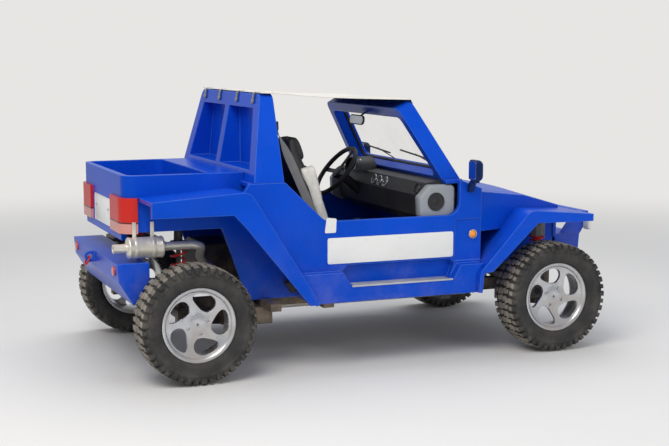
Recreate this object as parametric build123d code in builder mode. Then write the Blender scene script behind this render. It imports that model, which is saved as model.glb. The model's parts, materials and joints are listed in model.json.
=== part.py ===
from build123d import *
from math import atan2, cos, degrees, hypot, pi, radians, sin, sqrt, tan
import os

os.makedirs("parts", exist_ok=True)

# An open fun buggy, in millimetres. X points to the driver's left, Y to the rear, Z up.
# The origin is on the ground, under the middle of the wheelbase and of the length.

# Wheels and axles
wheelbase = 2100
track = 1390
tyre_radius = 310
tyre_width = 214
lug_height = 13
rim_radius = 182
rim_width = 152
flange_height = 13
spindle_radius = 19
spindle_faces = 12
spindle_gap = 0.1
spindle_reach = 30
running_gap = 0.3
kingpin_x = 545
round_faces = 10

# Body heights
floor_z = 370
sill_band_z = 530
step_z = 455
sill_z = 800
cowl_z = 992
shoulder_z = 1015
deck_z = 1060
hoop_z = 1470

# Body half widths
side_x = 700
sill_band_x = 755
flare_x = 785
rocker_x = 600
rear_box_x = 500
bay_x = 420
rail_x = 330

# Body places along the length
nose_y = -1250
cowl_y = -600
glass_base_y = -440
hoop_front_y = 555
hoop_rear_y = 720
tail_y = 1365
bumper_y = 1475

# Thicknesses
skin = 22
side_skin = 30
rail_width = 60
rail_height = 70
seam = 5

axle_y = wheelbase / 2
wheel_x = track / 2
sides = (("right", -1), ("left", 1))


def save(part, name):
    part.label = name
    export_step(part, f"parts/{name}.step")


def side_plane(x, side):
    """A plane across X whose sketches read (y, z), facing away from the middle on that side."""
    return Plane(origin=(side * x, 0, 0), x_dir=(0, 1, 0), z_dir=(1, 0, 0))


def outward(x_from, x_to, side):
    """How far a sketch on side_plane(x_from) is extruded to reach x_to."""
    return side * (x_to - x_from)


# Centre lines of the bent sheets that cross each wheel arch, as (y, z)
front_arch = ((cowl_y + 42, floor_z), (-568, 478), (-872, 802), (-1275, 766))
rear_arch = ((402, floor_z), (780, 972), (1290, 938))
arch_bend = 60


def arch_strip(points, width):
    """The sketch of a bent sheet that follows an arch's centre line."""
    with BuildLine() as centre_line:
        FilletPolyline(*points, radius=arch_bend)
    trace(centre_line.line, line_width=width)


def facet_ring(section, count):
    """A ring of flat facets about the Z axis, from its section as (radius to the flat, place along the axis)."""
    reach = max(radius for radius, _ in section)
    half = reach * tan(pi / count)
    with BuildPart() as facet:
        with BuildSketch(Plane.XZ):
            with BuildLine():
                Polyline(*section, close=True)
            make_face()
        extrude(amount=half, both=True)
        with BuildSketch(Plane.XY):
            with BuildLine():
                Polyline((0, 0), (reach, half), (reach, -half), close=True)
            make_face()
        extrude(amount=reach, both=True, mode=Mode.INTERSECT)
    with BuildPart() as ring:
        with PolarLocations(0, count):
            add(facet.part)
    return ring.part


# Ladder frame with its outriggers and the brackets that carry both bumpers
frame_top = floor_z
frame_base = frame_top - rail_height
frame_end = 1240
bracket_top = 600
bracket_depth = 40
bumper_back = frame_end + 10
cross_y = (-1190, -560, 0, 540, 1180)
outrigger_y = (-400, 300, 600)
outrigger_height = 40
with BuildPart() as chassis_frame:
    with BuildSketch(Plane.XY.offset(frame_base)):
        with Locations((-rail_x, 0), (rail_x, 0)):
            Rectangle(rail_width, 2 * frame_end)
        with Locations(*[(0, y) for y in cross_y]):
            Rectangle(2 * rail_x, rail_width)
    extrude(amount=rail_height)
    with BuildSketch(Plane.XY.offset(frame_top - outrigger_height)):
        with Locations(*[(0, y) for y in outrigger_y]):
            Rectangle(2 * (side_x - side_skin), rail_width)
    extrude(amount=outrigger_height)
    with BuildSketch(Plane.XY.offset(frame_base)):
        for end in (-1, 1):
            with Locations((-rail_x, end * (bumper_back - bracket_depth / 2))):
                Rectangle(rail_width, bracket_depth)
            with Locations((rail_x, end * (bumper_back - bracket_depth / 2))):
                Rectangle(rail_width, bracket_depth)
    extrude(amount=bracket_top - frame_base)
save(chassis_frame.part, "chassis_frame")

# Floor with its tunnel and the seat runners
floor_skin = 16
floor_front = cowl_y + 22
floor_rear = hoop_front_y - 35
tunnel_x = 95
tunnel_z = 500
tunnel_shoulder = 30
seat_x = 335
runner_gap = 150
runner_height = 130
runner_y = (-190, 230)
leg_y = rear_arch[0][0] - 20
with BuildPart() as floor_pan:
    with BuildSketch(Plane.XY.offset(floor_z)):
        with Locations((0, (floor_front + leg_y) / 2)):
            Rectangle(2 * rocker_x, leg_y - floor_front)
        with Locations((0, (floor_front + floor_rear) / 2)):
            Rectangle(2 * (rear_box_x - skin), floor_rear - floor_front)
    extrude(amount=floor_skin)
    with BuildSketch(Plane.XZ.offset(-floor_rear)):
        with BuildLine():
            Polyline(
                (-tunnel_x, floor_z), (tunnel_x, floor_z), (tunnel_x, tunnel_z - tunnel_shoulder),
                (tunnel_x - tunnel_shoulder, tunnel_z), (tunnel_shoulder - tunnel_x, tunnel_z),
                (-tunnel_x, tunnel_z - tunnel_shoulder), close=True,
            )
        make_face()
    extrude(amount=floor_rear - floor_front)
    with BuildSketch(Plane.XY.offset(floor_z)):
        for sign in (-1, 1):
            for gap in (-1, 1):
                with Locations((sign * seat_x + gap * runner_gap, sum(runner_y) / 2)):
                    Rectangle(36, runner_y[1] - runner_y[0])
    extrude(amount=runner_height)
save(floor_pan.part, "floor_pan")

# Side mouldings: wall, rocker box, proud sill band with its step scoop, and the quarter's shelf
cab_front_y = -465
cab_rear_y = 330
scoop_front_y = -405
scoop_rear_y = 205
scoop_top_z = 560
scoop_depth = 36
shelf_rear_y = 752
wall_outline = (
    (-568, floor_z), (402, floor_z), (780, 972), (shelf_rear_y, shoulder_z), (hoop_front_y, shoulder_z),
    (cab_rear_y, sill_z), (cab_front_y, sill_z), (cab_front_y, cowl_z),
    (cowl_y, 940), (cowl_y, 510), (-568, 478),
)
band_outline = (
    (-560, floor_z), (398, floor_z), (500, sill_band_z), (scoop_rear_y + 45, sill_band_z),
    (scoop_rear_y, step_z), (scoop_front_y, step_z), (scoop_front_y - 45, sill_band_z), (-590, sill_band_z),
    (-560, 478),
)
cab_corners = (
    # y, height, radius of each rounded corner of the wall
    (cab_front_y, sill_z, 70),
    (cab_rear_y, sill_z, 90),
)
marker_y = -545
marker_z = 690
marker_panel = ((-640, 545), (-438, 545), (-438, 775), (-640, 775))
marker_depth = 6
for name, side in sides:
    with BuildPart() as body_side:
        with BuildSketch(side_plane(side_x - side_skin, side)) as wall:
            with BuildLine():
                Polyline(*wall_outline, close=True)
            make_face()
            for y, z, radius in cab_corners:
                fillet(wall.vertices().sort_by_distance((y, z))[0], radius)
        extrude(amount=outward(side_x - side_skin, side_x, side))
        with BuildSketch(side_plane(side_x - marker_depth, side)):
            with BuildLine():
                Polyline(*marker_panel, close=True)
            make_face()
        extrude(amount=outward(0, 2 * marker_depth, side), mode=Mode.SUBTRACT)
        with BuildSketch(side_plane(rocker_x, side)):
            with BuildLine():
                Polyline((-560, floor_z), (390, floor_z), (500, scoop_top_z), (-577, scoop_top_z), close=True)
            make_face()
        extrude(amount=outward(rocker_x, side_x - side_skin, side))
        with BuildSketch(side_plane(side_x, side)):
            with BuildLine():
                Polyline(*band_outline, close=True)
            make_face()
        extrude(amount=outward(side_x, sill_band_x, side))
        with BuildSketch(side_plane(side_x - scoop_depth, side)):
            with BuildLine():
                Polyline(
                    (scoop_front_y, step_z), (scoop_rear_y, step_z), (scoop_rear_y + 30, scoop_top_z - 30),
                    (scoop_rear_y, scoop_top_z), (scoop_front_y, scoop_top_z),
                    (scoop_front_y - 30, scoop_top_z - 30), close=True,
                )
            make_face()
        extrude(amount=outward(0, scoop_depth, side), mode=Mode.SUBTRACT)
        with BuildSketch(Plane.XY.offset(shoulder_z - skin)):
            with Locations((side * (rear_box_x + side_x - side_skin) / 2, (hoop_front_y + shelf_rear_y - 15) / 2)):
                Rectangle(side_x - side_skin - rear_box_x, shelf_rear_y - 15 - hoop_front_y)
        extrude(amount=skin)
        with BuildSketch(side_plane(rear_box_x, side)):
            arch_strip(rear_arch, skin)
            arch_strip(front_arch, skin)
        extrude(amount=outward(0, side_x, side), mode=Mode.SUBTRACT)
    save(body_side.part, f"body_side_{name}")

# Fenders: a bent sheet over each wheel, with a deep lip along its outer edge
lip_depth = 25
front_lip = (
    (-568, 478), (-872, 802), (-1275, 766), (-1275, 736), (-915, 740), (-634, 482),
)
rear_lip = (
    (402, floor_z), (780, 972), (1290, 938), (1290, 868), (862, 866), (800, 800), (448, floor_z),
)
turret_radius = 50
turret_z = 745
strut_y = -axle_y
for nodes, arch, lip, x_inner in (
    ("front_fenders", front_arch, front_lip, bay_x),
    ("rear_fenders", rear_arch, rear_lip, rear_box_x),
):
    with BuildPart() as fenders:
        for _, side in sides:
            with BuildSketch(side_plane(x_inner, side)):
                arch_strip(arch, skin)
            extrude(amount=outward(x_inner, flare_x, side))
            with BuildSketch(side_plane(flare_x - lip_depth, side)):
                with BuildLine():
                    Polyline(*lip, close=True)
                make_face()
            extrude(amount=outward(0, lip_depth, side))
            if arch is front_arch:
                with BuildSketch(Plane.XY.offset(turret_z)):
                    with Locations((side * kingpin_x, strut_y)):
                        RegularPolygon(turret_radius, round_faces)
                extrude(amount=40)
        if arch is front_arch:
            with BuildSketch(Plane.XY.offset(floor_z - 20)):
                with Locations((0, cowl_y + 150)):
                    Rectangle(2 * side_x, 300)
            extrude(amount=cowl_z - floor_z, mode=Mode.SUBTRACT)
    save(fenders.part, nodes)

# Front end: an upper shell tapering to the nose, with the lid's opening, over two inner bay walls
shell_stations = (
    # y, ridge height, half width
    (cowl_y, 956, 690),
    (-950, 898, 570),
    (nose_y, 808, 450),
)
shell_base_z = 700
crown_radius = 7000


def crown_drop(x):
    """How far the crowned top lies below its ridge at a distance from the middle."""
    return crown_radius - sqrt(crown_radius**2 - x**2)


def shell_body(inset):
    """The front end's outer form, drawn in by inset."""
    half = shell_stations[0][2] + 30
    depth = 400
    right_edge = [(inset - x, y) for y, _, x in shell_stations]
    left_edge = [(x - inset, y) for y, _, x in reversed(shell_stations)]
    with BuildPart() as form:
        with BuildLine() as ridge:
            Polyline(*[(0, y, z - inset) for y, z, _ in shell_stations])
        with BuildSketch(Plane(origin=ridge.line @ 0, x_dir=(1, 0, 0), z_dir=ridge.line % 0)):
            with BuildLine():
                Polyline((-half, -crown_drop(half)), (-half, -depth), (half, -depth), (half, -crown_drop(half)))
                ThreePointArc((half, -crown_drop(half)), (0, 0), (-half, -crown_drop(half)))
            make_face()
        sweep(path=ridge.line, transition=Transition.RIGHT)
        with BuildSketch(Plane.XY.offset(shell_base_z)):
            with BuildLine():
                Polyline(*right_edge, *left_edge, close=True)
            make_face()
        extrude(amount=depth, mode=Mode.INTERSECT)
    return form.part


lid_hinge_y = cowl_y - 14
lid_shoulder_y = lid_hinge_y - 80
lid_front_y = nose_y + 26
lid_rear_x = 600
lid_front_x = 396


def lid_plan(inset):
    """The lid's outline from above, drawn in by inset; its sides stay parallel beside the hinges."""
    rear_x = lid_rear_x - inset
    front_x = lid_front_x - inset
    with BuildLine() as outline:
        Polyline(
            (-rear_x, lid_shoulder_y), (-rear_x, lid_hinge_y - inset), (rear_x, lid_hinge_y - inset),
            (rear_x, lid_shoulder_y), (front_x, lid_front_y + inset), (-front_x, lid_front_y + inset), close=True,
        )
    make_face(outline.line.edges())


# Each lid hinge is a pin held by two ears on the shell, inside an eye on the lid
hinge_x = 400
hinge_z = 957
hinge_pin = 5
hinge_eye = 11
eye_half = 14
ear_width = 10
ear_gap = 1
pin_gap = 0.05
lid_strap = (
    (lid_hinge_y - 31, 930), (lid_hinge_y - 6, 930), (lid_hinge_y - 6, hinge_z - 9), (lid_hinge_y, hinge_z - 9),
    (lid_hinge_y, hinge_z + 9), (lid_hinge_y - 31, 946),
)

ear_outline = (
    (cowl_y, hinge_z - 28), (cowl_y, hinge_z), (lid_hinge_y + 4, hinge_z + hinge_eye),
    (lid_hinge_y - 4, hinge_z + hinge_eye), (lid_hinge_y - hinge_eye, hinge_z),
    (lid_hinge_y - 4, hinge_z - hinge_eye), (lid_hinge_y, hinge_z - 28),
)
outer_form = shell_body(0)
inner_form = shell_body(skin)
under_bonnet = [(cowl_y + 60, floor_z), (cowl_y + 60, 478), (-568, 478), (-872, 802), (-1400, 755), (-1400, floor_z)]
with BuildPart() as front_shell:
    add(outer_form)
    add(inner_form, mode=Mode.SUBTRACT)
    with BuildSketch(Plane.XY.offset(shell_base_z)):
        lid_plan(0)
    extrude(amount=400, mode=Mode.SUBTRACT)
    with BuildSketch(Plane.YZ.offset(-flare_x)):
        arch_strip(front_arch, skin)
        with BuildLine():
            Polyline(*under_bonnet, close=True)
        make_face()
    extrude(amount=2 * flare_x, mode=Mode.SUBTRACT)
    for _, side in sides:
        with BuildSketch(side_plane(bay_x - skin, side)):
            with BuildLine():
                Polyline(
                    (cowl_y, 470), (cowl_y, 800), (-880, 812), (nose_y + 22, 770), (nose_y + 22, 470), close=True
                )
            make_face()
        extrude(amount=outward(0, skin, side))
        for ear_x in (hinge_x - eye_half - ear_gap - ear_width, hinge_x + eye_half + ear_gap):
            with BuildSketch(side_plane(ear_x, side)):
                with BuildLine():
                    Polyline(*ear_outline, close=True)
                make_face()
            extrude(amount=outward(0, ear_width, side))
        with BuildSketch(side_plane(hinge_x - eye_half - ear_width, side)):
            with Locations((lid_hinge_y, hinge_z)):
                RegularPolygon(hinge_pin, round_faces)
        extrude(amount=outward(0, 2 * (eye_half + ear_width), side))
save(front_shell.part, "front_shell")

with BuildPart() as bonnet:
    add(outer_form)
    add(inner_form, mode=Mode.SUBTRACT)
    with BuildSketch(Plane.XY.offset(shell_base_z + 50)):
        lid_plan(seam)
    extrude(amount=400, mode=Mode.INTERSECT)
    for _, side in sides:
        with BuildSketch(side_plane(hinge_x - eye_half, side)):
            with BuildLine():
                Polyline(*lid_strap, close=True)
            make_face()
            with Locations((lid_hinge_y, hinge_z)):
                RegularPolygon(hinge_eye, round_faces)
                RegularPolygon(hinge_pin + pin_gap, round_faces, major_radius=False, mode=Mode.SUBTRACT)
        extrude(amount=outward(0, 2 * eye_half, side))
save(bonnet.part, "bonnet")

# Nose panel with round headlamp bores and grille slots
nose_half = bay_x + 7
nose_base_z = bracket_top + 2
nose_crown = crown_drop(nose_half)
nose_top_z = shell_stations[-1][1] - skin - 1.5 - nose_crown
lamp_x = 300
lamp_z = 695
lamp_bore = 66
lamp_faces = 24
slot_half = 190
slot_pitch = 30
slot_height = 16
slot_count = 5
with BuildPart() as nose_panel:
    with BuildSketch(Plane.XZ.offset(-nose_y)):
        with BuildLine():
            Polyline(
                (-nose_half, nose_top_z), (-nose_half, nose_base_z), (nose_half, nose_base_z), (nose_half, nose_top_z)
            )
            ThreePointArc((nose_half, nose_top_z), (0, nose_top_z + nose_crown), (-nose_half, nose_top_z))
        make_face()
        with Locations((-lamp_x, lamp_z), (lamp_x, lamp_z)):
            RegularPolygon(lamp_bore, lamp_faces, mode=Mode.SUBTRACT)
        with Locations(*[(0, lamp_z + slot_pitch * (k - (slot_count - 1) / 2)) for k in range(slot_count)]):
            Rectangle(2 * slot_half, slot_height, mode=Mode.SUBTRACT)
    extrude(amount=skin, dir=(0, 1, 0))
    for _, side in sides:
        with BuildSketch(side_plane(bay_x, side)):
            arch_strip(front_arch, skin)
        extrude(amount=outward(bay_x, flare_x, side), mode=Mode.SUBTRACT)
save(nose_panel.part, "nose_panel")

# Scuttle: the bent sheet from the footwell's front wall up to the windscreen's foot
scuttle_skin = 20
scuttle_rear_y = -395
scuttle_line = (
    (cowl_y + 11, floor_z + 18), (cowl_y + 11, 930), (glass_base_y - 32, cowl_z - scuttle_skin / 2),
    (scuttle_rear_y, cowl_z - scuttle_skin / 2),
)
scuttle_half = side_x - side_skin
with BuildPart() as scuttle:
    with BuildSketch(Plane.YZ.offset(-scuttle_half)):
        with BuildLine():
            FilletPolyline(*scuttle_line, radius=25)
        trace(line_width=scuttle_skin)
    extrude(amount=2 * scuttle_half)
save(scuttle.part, "scuttle")

# Windscreen: a raked box frame standing on the scuttle, with its pane
screen_top_y = -200
screen_top_z = 1405
screen_rake = degrees(atan2(screen_top_y - glass_base_y, screen_top_z - cowl_z))
screen_length = hypot(screen_top_y - glass_base_y, screen_top_z - cowl_z)
screen_foot_x = 640
screen_top_x = 530
screen_depth = 90
pillar_width = 58
header_height = 62
glass_skin = 6
screen_plane = Plane(
    origin=(0, glass_base_y, cowl_z), x_dir=(1, 0, 0),
    z_dir=(0, -cos(radians(screen_rake)), sin(radians(screen_rake))),
)
foot = 60


def half_at(up):
    """The frame's outer half width at a distance up the rake."""
    return screen_foot_x - (screen_foot_x - screen_top_x) * up / screen_length


opening_low = 42
opening_high = screen_length - header_height
frame_corner = 60
opening_corner = 42
opening = (
    (-half_at(opening_low) + pillar_width, opening_low), (half_at(opening_low) - pillar_width, opening_low),
    (half_at(opening_high) - pillar_width, opening_high), (-half_at(opening_high) + pillar_width, opening_high),
)
with BuildPart() as windscreen_frame:
    with BuildSketch(screen_plane.offset(-screen_depth / 2)) as frame_face:
        with BuildLine():
            Polyline(
                (-half_at(-foot), -foot), (half_at(-foot), -foot), (screen_top_x, screen_length),
                (-screen_top_x, screen_length), close=True,
            )
        make_face()
        fillet(frame_face.vertices().group_by(Axis.Y)[-1], frame_corner)
        with BuildSketch(mode=Mode.SUBTRACT) as frame_hole:
            with BuildLine():
                Polyline(*opening, close=True)
            make_face()
            fillet(frame_hole.vertices(), opening_corner)
    extrude(amount=screen_depth)
    with BuildSketch(Plane.XY.offset(cowl_z)):
        with Locations((0, glass_base_y)):
            Rectangle(2 * flare_x, 400)
    extrude(amount=-200, mode=Mode.SUBTRACT)
save(windscreen_frame.part, "windscreen_frame")

with BuildPart() as windscreen_glass:
    with BuildSketch(screen_plane.offset(18)) as pane:
        with BuildLine():
            Polyline(*opening, close=True)
        make_face()
        fillet(pane.vertices(), opening_corner)
    extrude(amount=glass_skin)
save(windscreen_glass.part, "windscreen_glass")

# Roll hoop: a tapering box arch with a closed bulkhead, pocketed from the rear
hoop_foot_x = 682
hoop_top_x = 522
hoop_top_front_y = 562
hoop_top_rear_y = 632
pocket_low_z = 1075
pocket_high_z = 1395
pocket_wall = 28
rib_half = 34


def hoop_half(z):
    """The hoop's outer half width at a height."""
    return hoop_foot_x - (hoop_foot_x - hoop_top_x) * (z - shoulder_z) / (hoop_z - shoulder_z)


hoop_pillar = 92
hoop_corner = 55
with BuildPart() as roll_hoop:
    with BuildSketch(Plane.YZ):
        with BuildLine():
            Polyline(
                (hoop_front_y, shoulder_z), (hoop_rear_y, shoulder_z), (hoop_top_rear_y, hoop_z),
                (hoop_top_front_y, hoop_z), close=True,
            )
        make_face()
    extrude(amount=hoop_foot_x, both=True)
    with BuildSketch(Plane.XZ) as hoop_front:
        with BuildLine():
            Polyline(
                (-hoop_foot_x, shoulder_z), (hoop_foot_x, shoulder_z), (hoop_top_x, hoop_z), (-hoop_top_x, hoop_z),
                close=True,
            )
        make_face()
        fillet(hoop_front.vertices().group_by(Axis.Y)[-1], hoop_corner)
    extrude(amount=-hoop_rear_y, mode=Mode.INTERSECT)
    for _, side in sides:
        with BuildSketch(Plane.XZ.offset(-hoop_front_y - pocket_wall)):
            with BuildLine():
                Polyline(
                    (side * rib_half, pocket_low_z), (side * (hoop_half(pocket_low_z) - hoop_pillar), pocket_low_z),
                    (side * (hoop_half(pocket_high_z) - hoop_pillar), pocket_high_z),
                    (side * rib_half, pocket_high_z), close=True,
                )
            make_face()
        extrude(amount=-hoop_rear_y, mode=Mode.SUBTRACT)
save(roll_hoop.part, "roll_hoop")

# Canopy: one thin sheet stretched from the windscreen's header to the hoop
canopy_skin = 10
canopy_front_y = screen_top_y - screen_depth / 2 * cos(radians(screen_rake))
canopy_front_z = screen_top_z + screen_depth / 2 * sin(radians(screen_rake)) + running_gap
canopy_rear_y = hoop_top_rear_y - 5
canopy_slope = (hoop_z + running_gap - canopy_front_z) / (hoop_top_front_y - canopy_front_y)
canopy_rear_z = canopy_front_z + canopy_slope * (canopy_rear_y - canopy_front_y)
with BuildPart() as canopy:
    with BuildSketch(Plane.YZ):
        with BuildLine():
            Polyline(
                (canopy_front_y, canopy_front_z), (canopy_rear_y, canopy_rear_z),
                (canopy_rear_y, canopy_rear_z + canopy_skin), (canopy_front_y, canopy_front_z + canopy_skin),
                close=True,
            )
        make_face()
    extrude(amount=screen_top_x, both=True)
save(canopy.part, "canopy")

# Rear moulding: wheelhouse walls, the wall behind the seats, the deck, the open bed and the tail
deck_rear_y = 905
bed_floor_z = 800
tail_base_z = 720
tail_wall = 30
wall_base_z = 765
tail_corner = 70
riser_y = floor_rear
plate_spacing = 300
plate_hole = 3
plate_z = 850
with BuildPart() as rear_body:
    with BuildSketch(Plane.XY.offset(wall_base_z)):
        with Locations((0, (riser_y + tail_y) / 2)):
            Rectangle(2 * rear_box_x, tail_y - riser_y)
    extrude(amount=deck_z - wall_base_z)
    fillet(rear_body.edges().filter_by(Axis.Z).group_by(Axis.Y)[-1], tail_corner)
    with BuildSketch(Plane.XY.offset(bed_floor_z)):
        with Locations((0, (deck_rear_y + tail_y - tail_wall) / 2)):
            RectangleRounded(2 * (rear_box_x - skin), tail_y - tail_wall - deck_rear_y, 45)
    extrude(amount=400, mode=Mode.SUBTRACT)
    with BuildSketch(Plane.XY.offset(wall_base_z)):
        with Locations((0, (riser_y + skin + deck_rear_y - skin) / 2)):
            Rectangle(2 * (rear_box_x - skin), deck_rear_y - riser_y - 2 * skin)
    extrude(amount=deck_z - skin - wall_base_z, mode=Mode.SUBTRACT)
    with BuildSketch(Plane.XY.offset(shoulder_z)):
        with Locations((0, (riser_y + hoop_rear_y) / 2)):
            Rectangle(2 * rear_box_x, hoop_rear_y - riser_y)
    extrude(amount=200, mode=Mode.SUBTRACT)
    with BuildSketch(Plane.XY.offset(shoulder_z - skin)):
        with Locations((0, (riser_y + hoop_rear_y + 20) / 2)):
            Rectangle(2 * rear_box_x, hoop_rear_y + 20 - riser_y)
    extrude(amount=skin)
    with BuildSketch(Plane.XZ.offset(-riser_y)):
        with Locations((0, (floor_z + wall_base_z) / 2)):
            Rectangle(2 * rear_box_x, wall_base_z - floor_z)
    extrude(amount=-skin)
    for _, side in sides:
        with BuildSketch(side_plane(rear_box_x - skin, side)):
            with BuildLine():
                Polyline(
                    (leg_y, floor_z), (hoop_rear_y - 20, floor_z), (840, wall_base_z), (leg_y + 250, wall_base_z),
                    close=True,
                )
            make_face()
        extrude(amount=outward(0, skin, side))
    with BuildSketch(Plane.XZ.offset(-tail_y + tail_wall)):
        with Locations((0, (tail_base_z + wall_base_z) / 2)):
            Rectangle(2 * (rear_box_x - tail_corner), wall_base_z - tail_base_z)
    extrude(amount=-tail_wall)
    with BuildSketch(Plane.XZ.offset(-tail_y + 200)):
        with Locations((-plate_spacing / 2, plate_z), (plate_spacing / 2, plate_z)):
            Circle(plate_hole)
    extrude(amount=-400, mode=Mode.SUBTRACT)
save(rear_body.part, "rear_body")

# Bumpers: a wedge beam across the car; the front one carries a raked lamp bar
front_beam_half = 415
rear_beam_half = 560
wedge = ((bumper_back, 520), (1335, 395), (1412, 520), (1420, 615), (bumper_back, 615))
eye_radius = 30
eye_bore = 14
eye_skin = 20
eye_y = bumper_y - eye_radius
eye_z = 580
hoop_bar = ((1300, 612), (1400, 745), (bumper_y, 745), (bumper_y, 700), (1418, 612))
bar_x = 400
bar_skin = 44
for name, end, beam_half in (("front_bumper", -1, front_beam_half), ("rear_bumper", 1, rear_beam_half)):
    with BuildPart() as bumper:
        with BuildSketch(Plane.YZ.offset(-beam_half)):
            with BuildLine():
                Polyline(*[(end * y, z) for y, z in wedge], close=True)
            make_face()
        extrude(amount=2 * beam_half)
        with BuildSketch(Plane.YZ.offset(-eye_skin / 2)):
            with Locations((end * eye_y, eye_z)):
                RegularPolygon(eye_radius, round_faces)
            with Locations((end * (eye_y - eye_radius), eye_z)):
                Rectangle(2 * eye_radius, 2 * eye_radius)
        extrude(amount=eye_skin)
        if end < 0:
            for _, side in sides:
                with BuildSketch(side_plane(bar_x - bar_skin / 2, side)):
                    with BuildLine():
                        Polyline(*[(end * y, z) for y, z in hoop_bar], close=True)
                    make_face()
                extrude(amount=outward(0, bar_skin, side))
            with BuildSketch(Plane.YZ.offset(-bar_x)):
                with Locations((end * (bumper_y - bar_skin / 2), 745 - bar_skin / 2)):
                    Rectangle(bar_skin, bar_skin)
            extrude(amount=2 * bar_x)
        with BuildSketch(Plane.YZ.offset(-eye_skin)):
            with Locations((end * eye_y, eye_z)):
                Circle(eye_bore)
        extrude(amount=2 * eye_skin, mode=Mode.SUBTRACT)
    save(bumper.part, name)

# Lamps: headlamps and bar lamps in front, tail lamps behind, round markers on the sides
headlamp_depth = 40
bar_lamp_x = 452
with BuildPart() as front_lamps:
    for _, side in sides:
        with BuildSketch(Plane.XZ.offset(-nose_y + 12)):
            with Locations((side * lamp_x, lamp_z)):
                RegularPolygon(lamp_bore, lamp_faces)
        extrude(amount=-headlamp_depth)
        with BuildSketch(Plane.XZ.offset(1440)):
            with Locations((side * bar_lamp_x, 680)):
                Rectangle(60, 84)
        extrude(amount=24)
save(front_lamps.part, "front_lamps")

tail_lamp_inner_x = 245
tail_lamp_low_z = 760
tail_lamp_high_z = 945
tail_lamp_skin = 16
with BuildPart() as tail_lamps:
    for _, side in sides:
        inner = rear_box_x
        outer = rear_box_x + tail_lamp_skin
        bend_x = rear_box_x - tail_corner
        bend_y = tail_y - tail_corner
        turn = sin(radians(45))
        with BuildSketch(Plane.XY.offset(tail_lamp_low_z)):
            with BuildLine():
                Polyline(
                    (side * bend_x, tail_y), (side * tail_lamp_inner_x, tail_y),
                    (side * tail_lamp_inner_x, tail_y + tail_lamp_skin), (side * bend_x, tail_y + tail_lamp_skin),
                )
                reach = turn * (tail_corner + tail_lamp_skin)
                ThreePointArc(
                    (side * bend_x, tail_y + tail_lamp_skin), (side * (bend_x + reach), bend_y + reach),
                    (side * outer, bend_y),
                )
                Line((side * outer, bend_y), (side * inner, bend_y))
                ThreePointArc(
                    (side * inner, bend_y), (side * (bend_x + turn * tail_corner), bend_y + turn * tail_corner),
                    (side * bend_x, tail_y),
                )
            make_face()
        extrude(amount=tail_lamp_high_z - tail_lamp_low_z)
save(tail_lamps.part, "tail_lamps")

with BuildPart() as side_markers:
    for _, side in sides:
        with BuildSketch(side_plane(side_x - marker_depth, side)):
            with Locations((marker_y, marker_z)):
                RegularPolygon(24, round_faces)
        extrude(amount=outward(0, 2 * marker_depth + 4, side))
save(side_markers.part, "side_markers")

# Mirrors on short arms from the cowl's sides
mirror_x = 765
mirror_y = -505
mirror_z = 1048
mirror_arm = ((side_x, 925), (side_x, 960), (742, 1000), (790, 1000), (790, 980), (752, 978), (725, 925))
mirror_head = ((-46, -52), (36, -58), (46, -44), (46, 46), (30, 58), (-30, 58), (-46, 42))
mirror_depth = 54
mirror_bevel = 16
with BuildPart() as mirrors:
    for _, side in sides:
        with BuildSketch(Plane.XZ.offset(-mirror_y)):
            with BuildLine():
                Polyline(*[(side * (mirror_x + x), mirror_z + z) for x, z in mirror_head], close=True)
            make_face()
        extrude(amount=mirror_depth)
        chamfer(mirrors.faces().filter_by(Axis.Y).sort_by(Axis.Y)[0].edges(), mirror_bevel)
        with BuildSketch(Plane.XZ.offset(-mirror_y - 4)):
            with BuildLine():
                Polyline(*[(side * x, z) for x, z in mirror_arm], close=True)
            make_face()
        extrude(amount=32)
save(mirrors.part, "mirrors")

# Interior: dashboard, speaker pods, seats, column, steering wheel and lever console
dash_half = 610
dash_outline = (
    (scuttle_rear_y, 985), (-300, 972), (-272, 900), (-300, 780), (-400, 720), (-470, 740), (-500, 900), (-462, 962),
    (scuttle_rear_y, 962),
)
wheel_tilt = 39
wheel_centre = (330, -150, 968)
column_radius = 30
column_plane = Plane(
    origin=wheel_centre, x_dir=(1, 0, 0), z_dir=(0, cos(radians(wheel_tilt)), sin(radians(wheel_tilt)))
)
with BuildPart() as dashboard:
    with BuildSketch(Plane.YZ.offset(-dash_half)):
        with BuildLine():
            Polyline(*dash_outline, close=True)
        make_face()
    extrude(amount=2 * dash_half)
    with BuildSketch(column_plane.offset(-20)):
        RegularPolygon(column_radius + running_gap, round_faces)
    extrude(amount=-420, mode=Mode.SUBTRACT)
save(dashboard.part, "dashboard")

with BuildPart() as steering_column:
    with BuildSketch(column_plane.offset(-62)):
        RegularPolygon(column_radius, round_faces)
    extrude(amount=-250)
save(steering_column.part, "steering_column")

wheel_ring = 170
grip_half = 14
grip_flat = 6
grip_section = (
    (wheel_ring - grip_half, 0), (wheel_ring - grip_flat, -grip_half), (wheel_ring + grip_flat, -grip_half),
    (wheel_ring + grip_half, 0), (wheel_ring + grip_flat, grip_half), (wheel_ring - grip_flat, grip_half),
)
ring_faces = 22
spoke_width = 30
with BuildPart() as steering_wheel:
    with Locations(column_plane):
        add(facet_ring(grip_section, ring_faces))
    with BuildSketch(column_plane.offset(-30)):
        RegularPolygon(34, round_faces)
        for turn in (0, 180, 270):
            with Locations((wheel_ring / 2 * cos(radians(turn)), wheel_ring / 2 * sin(radians(turn)))):
                Rectangle(wheel_ring, spoke_width, rotation=turn)
    extrude(amount=26)
    with BuildSketch(column_plane.offset(-61)):
        RegularPolygon(22, round_faces)
    extrude(amount=35)
save(steering_wheel.part, "steering_wheel")

with BuildPart() as speaker_pods:
    for _, side in sides:
        with BuildSketch(side_plane(dash_half, side)):
            with BuildLine():
                Polyline((-455, 965), (-300, 965), (-235, 900), (-240, 790), (-300, 760), (-455, 760), close=True)
            make_face()
        extrude(amount=outward(0, 55, side))
save(speaker_pods.part, "speaker_pods")

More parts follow.
